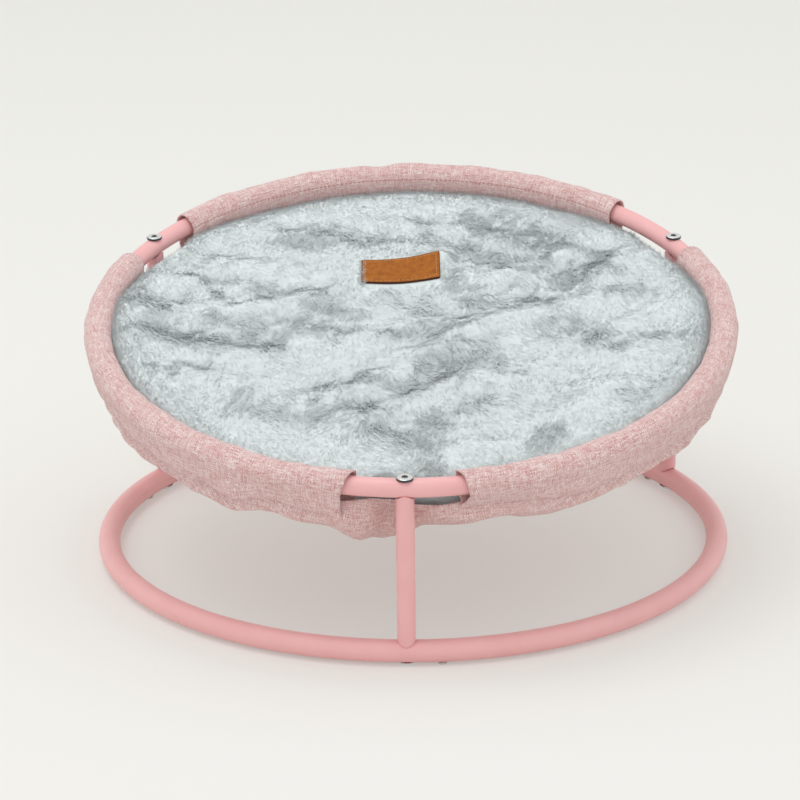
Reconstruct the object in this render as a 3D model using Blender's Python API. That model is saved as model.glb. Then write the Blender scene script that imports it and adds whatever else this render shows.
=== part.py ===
# Round raised pet bed.
# A tube stand carries a cloth hammock, and a loose plush cushion lies in the hammock.
# The stand is a flat base ring, three bolted legs and a rim that leans down towards the front.
# Lengths are in metres, +Z is up and the front of the bed faces -Y.
import bpy
import bmesh
from math import acos, cos, degrees, exp, hypot, pi, radians, sin, tan
from mathutils import Matrix, Vector

MM = 0.001

# Clearances
fit_gap = 0.3 * MM
cut_overrun = 2.0 * MM

# Stand: two rings of one radius, joined by three legs
ring_radius = 217.4 * MM
rim_tilt = radians(11.8)
front_leg_rise = 119.0 * MM
leg_names = ("front", "back_right", "back_left")
leg_angles = tuple(radians(-90.0) + k * 2.0 * pi / len(leg_names) for k in range(len(leg_names)))

# Tubes
base_tube_diameter = 15.2 * MM
base_tube_wall = 1.6 * MM
rim_tube_diameter = 12.8 * MM
rim_tube_wall = 1.2 * MM
leg_tube_diameter = 12.2 * MM
leg_tube_wall = 1.2 * MM

# Rim arcs: each has a swaged end that plugs into the next arc, hidden in a sleeve
swage_length = 26.0 * MM
swage_wall = 1.0 * MM

# Button head bolts and the threaded bushes in the leg ends
bolt_shank_diameter = 6.0 * MM
bolt_length = 25.0 * MM
bolt_head_diameter = 11.0 * MM
bolt_head_height = 1.7 * MM
bolt_socket_width = 4.0 * MM
bolt_socket_depth = 1.1 * MM
bolt_head_edge_share = 0.55
bolt_head_top_share = 0.82
base_seat_depth = 1.3 * MM
rim_seat_depth = 0.5 * MM
seat_margin = 0.5 * MM
bush_length = 13.0 * MM

# Rubber feet, one beside each leg
foot_cap_diameter = 6.0 * MM
foot_cap_height = 1.3 * MM
foot_face_share = 0.75
foot_stem_diameter = 3.6 * MM
foot_stem_tail = 1.4 * MM
foot_offset = 23.5 * MM

# Cloth: sleeves round the rim and the bowl that hangs from them
cloth_thickness = 1.3 * MM
bowl_cloth_thickness = 2.0 * MM
sleeve_gaps = ((37.0 * MM, 38.0 * MM), (24.0 * MM, 64.0 * MM), (36.0 * MM, 34.0 * MM))
seam_drop = 18.5 * MM
seam_width = 3.0 * MM
seam_outset = 2.5 * MM
seam_bulge_power = 0.5
bowl_depth = 45.0 * MM
bowl_roundness = 2.8
bowl_leg_dip = 11.0 * MM
bowl_leg_dip_reach = radians(12.5)
bowl_fold_depth = 3.0 * MM
bowl_fold_count = 9
bowl_gap_sag = 4.0 * MM
bowl_gap_sag_reach = radians(30.0)

# Cushion: a crowned round pad. Its folds rise gently in front and fall steeply behind
cushion_side_gap = 1.0 * MM
cushion_edge_drop = 17.0 * MM
cushion_crown_rise = 4.0 * MM
cushion_roundness = 4.0
cushion_fold_height = 5.5 * MM
cushion_fold_front = 20.0 * MM
cushion_fold_back = 13.0 * MM
cushion_fold_merge_power = 3.0
cushion_furrow_depth = 2.0 * MM
cushion_furrow_offset = 20.0 * MM
cushion_furrow_width = 10.0 * MM
cushion_fold_fade_power = 8.0
cushion_fold_soft_reach = 7.0 * MM

# Each fold: its share of the full height, and its points (right, back) in shares of the radius
cushion_folds = (
    (0.8, ((-0.89, 0.29), (-0.77, 0.25), (-0.66, 0.08))),
    (1.0, ((-0.94, 0.05), (-0.76, 0.03), (-0.52, 0.05), (-0.36, 0.10), (-0.20, 0.19))),
    (0.8, ((-0.94, -0.11), (-0.80, -0.21), (-0.64, -0.23), (-0.48, -0.27))),
    (0.8, ((-0.95, -0.25), (-0.81, -0.34), (-0.60, -0.44), (-0.47, -0.46))),
    (0.9, ((-0.43, -0.56), (-0.27, -0.55), (-0.14, -0.47), (-0.01, -0.35))),
    (0.7, ((-0.79, 0.41), (-0.58, 0.33), (-0.45, 0.42))),
    (0.8, ((-0.24, -0.66), (-0.10, -0.63), (0.04, -0.57))),
    (1.1, ((-0.03, -0.35), (0.20, -0.11), (0.30, -0.02), (0.51, 0.06), (0.75, 0.15))),
    (0.8, ((0.48, 0.29), (0.52, 0.44), (0.58, 0.66))),
    (1.0, ((0.50, 0.15), (0.58, 0.18), (0.73, 0.39), (0.84, 0.49))),
    (0.9, ((0.12, 0.31), (0.31, 0.30), (0.41, 0.27), (0.48, 0.15))),
    (0.6, ((-0.03, -0.05), (0.13, -0.05), (0.26, -0.03))),
    (0.9, ((0.40, -0.77), (0.53, -0.60), (0.70, -0.44))),
    (0.7, ((0.71, -0.06), (0.82, 0.03), (0.92, 0.05))),
    (0.7, ((0.76, -0.24), (0.84, -0.15), (0.94, -0.12))),
    (0.8, ((-0.02, -0.59), (0.24, -0.39), (0.34, -0.39))),
    (0.7, ((0.08, -0.92), (0.17, -0.88), (0.43, -0.80))),
)

# Leather patch sewn to the cushion
patch_length = 56.0 * MM
patch_width = 34.0 * MM
patch_thickness = 1.8 * MM
patch_proud = 1.0 * MM
patch_corner = 1.5 * MM
patch_turn = radians(1.7)
patch_centre_shares = (-0.04, 0.315)
patch_rise = 3.7 * MM
patch_slope_right = 0.142
patch_slope_back = 0.054
patch_calm_reach = 16.0 * MM

# Fineness of the solids
base_ring_steps = 48
base_tube_sides = 14
bore_sides = 8
rim_tube_sides = 12
leg_tube_sides = 16
fastener_sides = 12
cope_sides = 32
step_angle_limit = radians(7.5)
cloth_steps = 60
bowl_side_steps = 2
bowl_floor_steps = 6
bowl_floor_end_share = 0.9
cushion_top_shares = (0.0, 0.20, 0.335, 0.454, 0.558, 0.653, 0.731, 0.804, 0.864, 0.917, 0.957, 0.984, 0.998)
smooth_angle = radians(40.0)

# Sizes that follow from the ones above
base_tube_radius = base_tube_diameter / 2
rim_tube_radius = rim_tube_diameter / 2
leg_tube_radius = leg_tube_diameter / 2
leg_bore_radius = leg_tube_radius - leg_tube_wall
bolt_shank_radius = bolt_shank_diameter / 2
bolt_hole_radius = bolt_shank_radius + fit_gap
bolt_head_radius = bolt_head_diameter / 2
seat_radius = bolt_head_radius + seat_margin
sleeve_hole_radius = rim_tube_radius + fit_gap
sleeve_radius = sleeve_hole_radius + cloth_thickness
leg_lean = rim_tilt / 2

# The base ring stands clear of the floor on its feet
base_centre_height = foot_cap_height + fit_gap + base_tube_radius

# The legs lean by half the rim's tilt, which places the rim ahead of the base ring
front_leg_shift = front_leg_rise * tan(leg_lean)
rim_shift = ring_radius * cos(rim_tilt) - ring_radius - front_leg_shift
front_reach = ring_radius + front_leg_shift + rim_tube_radius
back_reach = ring_radius + base_tube_radius
base_centre_y = (front_reach - back_reach) / 2
rim_centre_height = base_centre_height + front_leg_rise + ring_radius * sin(rim_tilt)

base_frame = Matrix.Translation((0.0, base_centre_y, base_centre_height))
rim_frame = (Matrix.Translation((0.0, base_centre_y + rim_shift, rim_centre_height))
             @ Matrix.Rotation(rim_tilt, 4, "X"))


# Materials
def finish(name, colour, roughness, metallic=0.0):
    material = bpy.data.materials.new(name)
    material.use_nodes = True
    shader = material.node_tree.nodes["Principled BSDF"]
    shader.inputs["Base Color"].default_value = (*colour, 1.0)
    shader.inputs["Roughness"].default_value = roughness
    shader.inputs["Metallic"].default_value = metallic
    material.diffuse_color = (*colour, 1.0)
    return material


# Mesh helpers
def around(radius, sides):
    """Corner radius of a polygon whose flats lie on a circle of this radius."""
    return radius / cos(pi / sides)


def turns_around(sides):
    """Angles of a regular outline whose flats, not its corners, face along the axes."""
    return [2.0 * pi * (k + 0.5) / sides for k in range(sides)]


def circle_outline(radius, sides):
    """Points (out, up) of a round section, counted from its outer side over the top."""
    return [(radius * cos(turn), radius * sin(turn)) for turn in turns_around(sides)]


def ring_point(angle, out=0.0, up=0.0):
    """Point beside a ring's centre line, in the ring's own frame."""
    reach = ring_radius + out
    return Vector((reach * cos(angle), reach * sin(angle), up))


def ring_loop(angle, outline):
    return [ring_point(angle, out, up) for out, up in outline]


def level_loop(radius, sides, height):
    return [Vector((radius * cos(turn), radius * sin(turn), height)) for turn in turns_around(sides)]


def skin(loops, wrap=False, start_pole=None, end_pole=None):
    """Vertices and faces of a skin over loops that have the same number of points."""
    count = len(loops[0])
    vertices = [point for loop in loops for point in loop]
    pairs = [(k, k + 1) for k in range(len(loops) - 1)]
    if wrap:
        pairs.append((len(loops) - 1, 0))
    faces = []
    for low, high in pairs:
        for k in range(count):
            after = (k + 1) % count
            faces.append((low * count + k, low * count + after, high * count + after, high * count + k))
    for pole, first in ((start_pole, 0), (end_pole, (len(loops) - 1) * count)):
        if pole is None:
            continue
        vertices.append(pole)
        tip = len(vertices) - 1
        faces.extend((first + k, first + (k + 1) % count, tip) for k in range(count))
    return vertices, faces


def solid(name, shape, material, frame=None, parent=None):
    """Make an object of one closed skin, with its faces pointing out."""
    mesh = bpy.data.meshes.new(name)
    mesh.from_pydata([tuple(point) for point in shape[0]], [], shape[1])
    work = bmesh.new()
    work.from_mesh(mesh)
    bmesh.ops.recalc_face_normals(work, faces=work.faces)
    work.to_mesh(mesh)
    work.free()
    mesh.materials.append(material)
    return place(name, mesh, frame, parent)


def place(name, mesh, frame=None, parent=None):
    mesh.shade_smooth()
    mesh.set_sharp_from_angle(angle=smooth_angle)
    piece = bpy.data.objects.new(name, mesh)
    bpy.context.scene.collection.objects.link(piece)
    piece.parent = parent
    piece.matrix_local = frame if frame is not None else Matrix.Identity(4)
    return piece


def guide(name, frame, parent=None):
    marker = bpy.data.objects.new(name, None)
    bpy.context.scene.collection.objects.link(marker)
    marker.parent = parent
    marker.matrix_local = frame
    return marker


def cut(target, shape, name, material, frame=None, parent=None):
    """Take a shape away from a piece."""
    cutter = solid(name, shape, material, frame, parent)
    cutter.hide_render = True
    cutter.display_type = "WIRE"
    modifier = target.modifiers.new(name, "BOOLEAN")
    modifier.operation = "DIFFERENCE"
    modifier.solver = "EXACT"
    modifier.object = cutter


def cylinder(radius, low, high, sides):
    """Closed cylinder along Z."""
    return skin([level_loop(radius, sides, low), level_loop(radius, sides, high)],
                start_pole=Vector((0.0, 0.0, low)), end_pole=Vector((0.0, 0.0, high)))


def pipe(outer_radius, inner_radius, low, high, sides):
    """Open pipe along Z."""
    loops = [level_loop(outer_radius, sides, low), level_loop(outer_radius, sides, high),
             level_loop(inner_radius, sides, high), level_loop(inner_radius, sides, low)]
    return skin(loops, wrap=True)


# Frames of the legs
def leg_ends(angle):
    return base_frame @ ring_point(angle), rim_frame @ ring_point(angle)


def leg_frame(angle, from_top=False):
    """Frame on a ring's centre line whose Z runs into the leg."""
    foot, head = leg_ends(angle)
    start, end = (head, foot) if from_top else (foot, head)
    along = (end - start).normalized()
    tangent = Vector((-sin(angle), cos(angle), 0.0))
    side = along.cross(tangent).normalized()
    turn = Matrix((side.cross(along), side, along)).transposed().to_4x4()
    return Matrix.Translation(start) @ turn


def tangent_frame(ring_frame, angle):
    """Frame on a ring's centre line whose Z runs along the tube."""
    tangent = Vector((-sin(angle), cos(angle), 0.0))
    outward = Vector((cos(angle), sin(angle), 0.0))
    turn = Matrix((outward, tangent.cross(outward), tangent)).transposed().to_4x4()
    return ring_frame @ Matrix.Translation(ring_point(angle)) @ turn


# Angles of the stations along the rim, shared by the tubes and the sleeves on them
swage_angle = swage_length / ring_radius
half_arc = pi / len(leg_names)


def stations(*marks):
    """Angles that pass through every mark, with steps under the limit."""
    angles = [marks[0]]
    for start, end in zip(marks, marks[1:]):
        steps = max(1, round((end - start) / step_angle_limit + 0.5))
        angles.extend(start + (end - start) * k / steps for k in range(1, steps + 1))
    return angles


def before_leg(leg):
    """Stations from an arc's start to the sleeve's end before its leg."""
    return stations(-half_arc, -half_arc + swage_angle, -sleeve_gaps[leg][0] / ring_radius)


def after_leg(leg):
    """Stations from the next sleeve's start after an arc's leg to the arc's end."""
    return stations(sleeve_gaps[leg][1] / ring_radius, half_arc)


def arc_stations(leg):
    before, after = before_leg(leg), after_leg(leg)
    return before + stations(before[-1], after[0])[1:-1] + after


def sleeve_stations(leg):
    """Angles, counted from this leg, of the sleeve that reaches to the next leg."""
    following = before_leg((leg + 1) % len(leg_names))
    return after_leg(leg) + [2 * half_arc + angle for angle in following[1:]]


# Stand pieces
def make_base_ring(paint, parent):
    turns = turns_around(base_ring_steps)
    tube = circle_outline(base_tube_radius, base_tube_sides)
    ring = solid("base_ring", skin([ring_loop(turn, tube) for turn in turns], wrap=True),
                 paint, base_frame, parent)
    bore = circle_outline(base_tube_radius - base_tube_wall, bore_sides)
    cut(ring, skin([ring_loop(turn, bore) for turn in turns], wrap=True),
        "base_ring_bore", paint, base_frame, parent)
    for name, angle in zip(leg_names, leg_angles):
        drill(ring, "base_ring_" + name, base_tube_radius, base_seat_depth,
              leg_frame(angle), paint, parent)
        foot_hole = cylinder(foot_stem_diameter / 2 + fit_gap, -base_tube_radius - cut_overrun, 0.0,
                             fastener_sides)
        cut(ring, foot_hole, "base_ring_foot_hole_" + name, paint, foot_frame(angle), parent)
    return ring


def drill(tube, name, tube_radius, seat_depth, frame, paint, parent):
    """Bolt hole through a ring's tube, and the flat seat of the bolt's head."""
    reach = tube_radius + cut_overrun
    cut(tube, cylinder(bolt_hole_radius, -reach, reach, fastener_sides),
        name + "_hole", paint, frame, parent)
    cut(tube, cylinder(seat_radius, -reach, seat_depth - tube_radius, leg_tube_sides),
        name + "_seat", paint, frame, parent)


def make_rim_arc(leg, paint, parent, rim):
    """A third of the rim, drilled at its middle, with one open and one swaged end."""
    name, angle = leg_names[leg], leg_angles[leg]
    turns = arc_stations(leg)
    bore_radius = rim_tube_radius - rim_tube_wall
    swage_radius = bore_radius - fit_gap
    swage_bore = swage_radius - swage_wall
    end = turns[-1]
    swage_end = end + swage_angle - fit_gap / ring_radius
    turns[0] += fit_gap / ring_radius
    outside = [(turn, rim_tube_radius) for turn in turns]
    outside += [(end, swage_radius), (swage_end, swage_radius)]
    inside = [(swage_end, swage_bore), (end, swage_bore)]
    inside += [(turn, bore_radius) for turn in reversed(turns[:-1])]
    loops = [ring_loop(angle + turn, circle_outline(radius, rim_tube_sides))
             for turn, radius in outside + inside]
    arc = solid("rim_arc_" + name, skin(loops, wrap=True), paint, None, rim)
    drill(arc, "rim_arc_" + name, rim_tube_radius, rim_seat_depth,
          leg_frame(angle, from_top=True), paint, parent)
    return arc


def make_leg(name, angle, paint, parent):
    """A leg tube, coped at both ends to the round of the ring that it meets."""
    foot, head = leg_ends(angle)
    length = (head - foot).length
    leg = solid("leg_" + name, pipe(leg_tube_radius, leg_bore_radius, 0.0, length, leg_tube_sides),
                paint, leg_frame(angle), parent)
    reach = leg_tube_radius + cut_overrun
    for end_name, ring_frame, tube_radius in (("base", base_frame, base_tube_radius),
                                              ("rim", rim_frame, rim_tube_radius)):
        cope = cylinder(around(tube_radius + fit_gap, cope_sides), -reach, reach, cope_sides)
        cut(leg, cope, "leg_" + name + "_cope_" + end_name, paint,
            tangent_frame(ring_frame, angle), parent)
    return leg


def make_bush(name, angle, from_top, tube_radius, steel, parent):
    """Threaded bush inside a leg's end, square to the leg and clear of the leaning ring."""
    bush_radius = leg_bore_radius - fit_gap
    start = (tube_radius + fit_gap) / cos(leg_lean) + bush_radius * tan(leg_lean)
    shape = pipe(bush_radius, bolt_hole_radius, start, start + bush_length, leg_tube_sides)
    return solid(name, shape, steel, leg_frame(angle, from_top), parent)


def socket_loop(height):
    """Points on the hexagon of a bolt's socket."""
    apothem = bolt_socket_width / 2
    points = []
    turns = turns_around(fastener_sides)
    for turn in turns:
        from_flat = (turn - turns[0] + pi / 6) % (pi / 3) - pi / 6
        reach = apothem / cos(from_flat)
        points.append(Vector((reach * cos(turn), reach * sin(turn), height)))
    return points


def bolt_mesh(chrome):
    """Button head bolt: its head's underside is at zero and its shank runs along +Z."""
    edge = -bolt_head_height * bolt_head_edge_share
    loops = [level_loop(bolt_shank_radius, fastener_sides, bolt_length),
             level_loop(bolt_shank_radius, fastener_sides, 0.0),
             level_loop(bolt_head_radius, fastener_sides, 0.0),
             level_loop(bolt_head_radius, fastener_sides, edge),
             level_loop(bolt_head_radius * bolt_head_top_share, fastener_sides, -bolt_head_height),
             socket_loop(-bolt_head_height),
             socket_loop(bolt_socket_depth - bolt_head_height)]
    shape = skin(loops, start_pole=Vector((0.0, 0.0, bolt_length)),
                 end_pole=Vector((0.0, 0.0, bolt_socket_depth - bolt_head_height)))
    master = solid("bolt_master", shape, chrome)
    mesh = master.data
    bpy.data.objects.remove(master)
    return mesh


def bolt_frame(angle, from_top, tube_radius, seat_depth):
    underside = seat_depth - tube_radius - fit_gap
    return leg_frame(angle, from_top) @ Matrix.Translation((0.0, 0.0, underside))


def foot_frame(angle):
    """Frame on the base ring's centre line beside a leg."""
    turn = angle + foot_offset / ring_radius
    return base_frame @ Matrix.Translation(ring_point(turn))


def make_foot(name, angle, rubber, parent):
    """Push-in rubber foot: a low round cap on a stem that passes the tube's wall."""
    cap_top = -base_tube_radius - fit_gap
    stem_top = -base_tube_radius + base_tube_wall + foot_stem_tail
    cap_radius = foot_cap_diameter / 2
    face_radius = cap_radius * foot_face_share
    stem_radius = foot_stem_diameter / 2
    bottom = cap_top - foot_cap_height
    bulge = cap_radius - face_radius
    loops = [level_loop(face_radius, fastener_sides, bottom),
             level_loop(cap_radius, fastener_sides, bottom + bulge),
             level_loop(cap_radius, fastener_sides, cap_top),
             level_loop(stem_radius, fastener_sides, cap_top),
             level_loop(stem_radius, fastener_sides, stem_top)]
    shape = skin(loops, start_pole=Vector((0.0, 0.0, bottom)), end_pole=Vector((0.0, 0.0, stem_top)))
    return solid("foot_" + name, shape, rubber, foot_frame(angle), parent)


# Cloth of the hammock
def sleeve_outline():
    """Outer outline of a sleeve: round over the tube, drawn together at the seam below it."""
    over = [radians(turn) for turn in range(-15, 196, 30)]
    points = [(sleeve_radius * cos(turn), sleeve_radius * sin(turn)) for turn in over]
    seam_inner = seam_outset - seam_width
    inner_start = points[-1]
    outer_start = points[0]
    points.append(((inner_start[0] + seam_inner) / 2, (inner_start[1] - seam_drop) / 2))
    points.append((seam_inner, -seam_drop))
    points.append((seam_outset, -seam_drop))
    for share in (1 / 3, 2 / 3):
        out = seam_outset + (outer_start[0] - seam_outset) * share ** seam_bulge_power
        points.append((out, -seam_drop + (seam_drop + outer_start[1]) * share))
    return points


def make_sleeve(name, leg, linen, rim):
    """Cloth sleeve from one leg's gap to the next."""
    angle = leg_angles[leg]
    reach = sleeve_stations(leg)
    outer = sleeve_outline()
    sides = len(outer)
    first = radians(-15.0)
    hole_radius = around(sleeve_hole_radius, sides)
    turns = [first + 2.0 * pi * k / sides for k in range(sides)]
    inner = [(hole_radius * cos(turn), hole_radius * sin(turn)) for turn in turns]
    loops = [ring_loop(angle + turn, outer) for turn in reach]
    loops += [ring_loop(angle + turn, inner) for turn in reversed(reach)]
    return solid(name, skin(loops, wrap=True), linen, None, rim)


def nearness(angle, reach):
    """One at a leg, falling smoothly to zero at the given angle from it."""
    best = min(abs((angle - leg + pi) % (2.0 * pi) - pi) for leg in leg_angles)
    return cos(best / reach * pi / 2) ** 2 if best < reach else 0.0


# The cushion's side meets the bowl's floor at one of the bowl's loops
bowl_rim_radius = ring_radius + seam_outset - seam_width + fit_gap
cushion_radius = ring_radius - sleeve_radius - cushion_side_gap
cushion_side_share = acos(((cushion_radius + fit_gap) / bowl_rim_radius) ** (bowl_roundness / 2)) / (pi / 2)
bowl_side_shares = [cushion_side_share * k / bowl_side_steps for k in range(bowl_side_steps)]
bowl_floor_shares = [cushion_side_share + (bowl_floor_end_share - cushion_side_share) * k / bowl_floor_steps
                     for k in range(bowl_floor_steps + 1)]
bowl_shares = bowl_side_shares + bowl_floor_shares


def bowl_point(share, angle, cloth=0.0):
    """Point of the bowl, from its rim (share 0) to its middle (share 1).

    The inner face has cloth 0 and the outer face has cloth 1.
    """
    turn = share * pi / 2
    power = 2.0 / bowl_roundness
    rim_radius = bowl_rim_radius - bowl_leg_dip * nearness(angle, bowl_leg_dip_reach)
    thickness = bowl_cloth_thickness * cloth
    reach = (rim_radius + thickness) * max(cos(turn), 0.0) ** power
    drop = (bowl_depth + thickness) * sin(turn) ** power
    fold = bowl_fold_depth * (0.5 - 0.5 * cos(bowl_fold_count * (angle - leg_angles[0])))
    fold += bowl_gap_sag * nearness(angle, bowl_gap_sag_reach)
    drop += fold * sin(2.0 * turn) ** 2
    height = -(seam_drop + fit_gap + drop)
    return Vector((reach * cos(angle), reach * sin(angle), height))


cloth_angles = [leg_angles[0] + 2.0 * pi * k / cloth_steps for k in range(cloth_steps)]


def bowl_loop(share, cloth=0.0):
    return [bowl_point(share, angle, cloth) for angle in cloth_angles]


def make_bowl(linen, rim):
    """The hammock's bowl, open at the top, with a hem that stays clear of the legs."""
    loops = [bowl_loop(share, 1.0) for share in reversed(bowl_shares)]
    loops += [bowl_loop(share) for share in bowl_shares]
    middle = Vector((0.0, 0.0, bowl_point(1.0, 0.0).z))
    below = Vector((0.0, 0.0, bowl_point(1.0, 0.0, 1.0).z))
    return solid("hammock_bowl", skin(loops, start_pole=below, end_pole=middle), linen, None, rim)


# Cushion
def cushion_side_radius(angle):
    side = bowl_point(cushion_side_share, angle)
    return hypot(side.x, side.y) - fit_gap


def beside_fold(point, fold):
    """Distance from a point to a fold's line, and its side, from -1 before the line to 1 behind it."""
    nearest, side = None, 0.0
    for start, end in zip(fold, fold[1:]):
        along = end - start
        share = max(0.0, min(1.0, (point - start).dot(along) / along.length_squared))
        away = point - start - along * share
        if nearest is None or away.length < nearest:
            nearest = away.length
            side = along.cross(away) / (along.length * nearest) if nearest > 0.0 else 0.0
    return nearest, side


def sharp_fold_height(point):
    """Height of the folds and furrows at a place on the cushion's top."""
    crests, furrow = 0.0, 0.0
    for strength, shares in cushion_folds:
        away, side = beside_fold(point, [Vector(share) * cushion_radius for share in shares])
        width = cushion_fold_front + (cushion_fold_back - cushion_fold_front) * (0.5 + 0.5 * side)
        crests += (strength * exp(-(away / width) ** 2)) ** cushion_fold_merge_power
        behind = (away - cushion_furrow_offset) / cushion_furrow_width
        furrow = max(furrow, strength * max(side, 0.0) * exp(-behind ** 2))
    crest = crests ** (1.0 / cushion_fold_merge_power)
    return cushion_fold_height * crest - cushion_furrow_depth * furrow * (1.0 - 0.6 * crest)


def fold_height(across, back):
    """Height of the folds, softened over the distance that the solid's few faces can follow."""
    here = Vector((across, back))
    places = [here]
    for k in range(6):
        turn = k * pi / 3
        places.append(here + Vector((cos(turn), sin(turn))) * cushion_fold_soft_reach)
    return sum(sharp_fold_height(place) for place in places) / len(places)


def on_patch(across, back):
    """Coordinates of a place along and up the patch, from its middle."""
    right = across - patch_centre_shares[0] * cushion_radius
    up = back - patch_centre_shares[1] * cushion_radius
    return (right * cos(patch_turn) + up * sin(patch_turn),
            up * cos(patch_turn) - right * sin(patch_turn))


def patch_bed(along, up):
    """Height of the patch's underside over the rim's plane."""
    return patch_rise + along * patch_slope_right + up * patch_slope_back


def calm_under_patch(height, across, back):
    """Bring the cushion's top to the patch's sides, and leave it free further away."""
    along, up = on_patch(across, back)
    beyond = hypot(max(abs(along) - patch_length / 2, 0.0), max(abs(up) - patch_width / 2, 0.0))
    near = max(0.0, 1.0 - beyond / patch_calm_reach)
    near = near * near * (3.0 - 2.0 * near)
    held = patch_bed(along, up) + patch_thickness - patch_proud
    return height + (held - height) * near


def cushion_top_point(share, angle):
    """Point of the crowned top, from the side (share 0) to the middle (share 1)."""
    turn = share * pi / 2
    power = 2.0 / cushion_roundness
    reach_share = max(cos(turn), 0.0) ** power
    reach = cushion_side_radius(angle) * reach_share
    height = (cushion_edge_drop + cushion_crown_rise) * sin(turn) ** power - cushion_edge_drop
    across, back = reach * cos(angle), reach * sin(angle)
    height += fold_height(across, back) * (1.0 - reach_share ** cushion_fold_fade_power)
    return Vector((across, back, calm_under_patch(height, across, back)))


def make_cushion(plush, lift):
    """Cushion whose underside lies in the bowl and whose top is crowned and folded."""
    loops = []
    for share in reversed(bowl_floor_shares):
        loops.append([point + Vector((0.0, 0.0, fit_gap)) for point in bowl_loop(share)])
    loops[-1] = [Vector((cushion_side_radius(angle) * cos(angle),
                         cushion_side_radius(angle) * sin(angle), point.z))
                 for angle, point in zip(cloth_angles, loops[-1])]
    for share in cushion_top_shares:
        loops.append([cushion_top_point(share, angle) for angle in cloth_angles])
    underside = Vector((0.0, 0.0, bowl_point(1.0, 0.0).z + fit_gap))
    return solid("cushion", skin(loops, start_pole=underside, end_pole=cushion_top_point(1.0, 0.0)),
                 plush, None, lift)


# Patch
def patch_frame():
    """Frame at the middle of the patch's underside, laid on the cushion's slope."""
    across, back = (share * cushion_radius for share in patch_centre_shares)
    along = Vector((cos(patch_turn), sin(patch_turn), patch_slope_right)).normalized()
    upward = Vector((-sin(patch_turn), cos(patch_turn), patch_slope_back))
    normal = along.cross(upward).normalized()
    turn = Matrix((along, normal.cross(along), normal)).transposed().to_4x4()
    return Matrix.Translation((across, back, patch_rise)) @ turn


def rounded_plate(length, width, low, high, corner):
    """Closed plate with clipped corners."""
    half_x, half_y = length / 2, width / 2
    outline = [(half_x, corner - half_y), (half_x, half_y - corner), (half_x - corner, half_y),
               (corner - half_x, half_y), (-half_x, half_y - corner), (-half_x, corner - half_y),
               (corner - half_x, -half_y), (half_x - corner, -half_y)]
    loops = [[Vector((x, y, height)) for x, y in outline] for height in (low, high)]
    return skin(loops, start_pole=Vector((0.0, 0.0, low)), end_pole=Vector((0.0, 0.0, high)))


def make_patch(leather, cushion, lift):
    frame = patch_frame()
    patch = solid("leather_patch",
                  rounded_plate(patch_length, patch_width, 0.0, patch_thickness, patch_corner),
                  leather, frame, lift)
    pocket = rounded_plate(patch_length + 2 * fit_gap, patch_width + 2 * fit_gap, -fit_gap,
                           patch_thickness + cushion_fold_height + cut_overrun, patch_corner)
    cut(cushion, pocket, "patch_pocket", leather, frame, lift)
    return patch


# Build the bed
def build():
    for old in list(bpy.data.objects):
        bpy.data.objects.remove(old)

    pink_paint = finish("pink_powder_coat", (0.80, 0.44, 0.44), 0.45)
    linen = finish("pink_linen", (0.72, 0.50, 0.48), 0.95)
    plush = finish("grey_plush", (0.66, 0.70, 0.70), 1.0)
    leather = finish("tan_leather", (0.46, 0.17, 0.05), 0.6)
    chrome = finish("bolt_chrome", (0.75, 0.76, 0.77), 0.2, 1.0)
    steel = finish("bush_steel", (0.45, 0.46, 0.47), 0.4, 1.0)
    rubber = finish("foot_rubber", (0.12, 0.12, 0.12), 0.8)

    stand = guide("stand", Matrix.Identity(4))
    rim = guide("rim_plane", rim_frame, stand)
    lift = guide("cushion_lift", rim_frame, stand)

    make_base_ring(pink_paint, stand)
    bolt = bolt_mesh(chrome)
    for leg, (name, angle) in enumerate(zip(leg_names, leg_angles)):
        make_leg(name, angle, pink_paint, stand)
        make_rim_arc(leg, pink_paint, stand, rim)
        make_foot(name, angle, rubber, stand)
        for end_name, from_top, tube_radius, seat_depth in (
                ("base", False, base_tube_radius, base_seat_depth),
                ("rim", True, rim_tube_radius, rim_seat_depth)):
            make_bush("bush_" + end_name + "_" + name, angle, from_top, tube_radius, steel, stand)
            place("bolt_" + end_name + "_" + name, bolt,
                  bolt_frame(angle, from_top, tube_radius, seat_depth), stand)

    for leg, name in enumerate(("sleeve_right", "sleeve_back", "sleeve_left")):
        make_sleeve(name, leg, linen, rim)
    make_bowl(linen, rim)
    cushion = make_cushion(plush, lift)
    make_patch(leather, cushion, lift)
    bpy.context.view_layer.update()

    print("rim tilt", round(degrees(rim_tilt), 1), "degrees, rim centre", tuple(rim_frame.translation))
    print("cushion lifts along", tuple(rim_frame.to_3x3() @ Vector((0.0, 0.0, 1.0))))


build()
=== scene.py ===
# %% [markdown]
# # A round raised pet bed
#
# The bed is a pink tube stand with a flat base ring, three legs and a rim that leans down
# towards the front. A pink linen hammock is sleeved onto the rim, and a grey plush cushion
# with a small leather patch lies in it.
#
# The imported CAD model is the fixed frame: it says where each piece is and how large it is.
# This script dresses it. Hard pieces are modelled with Blender's own tools. Cloth and plush
# are shaped in code, because their folds follow the photograph and no tool draws those.

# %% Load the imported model
from math import acos, atan2, cos, pi, radians, sin, tan

import bmesh
import bpy
import numpy as np
from mathutils import Matrix, Vector


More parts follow.
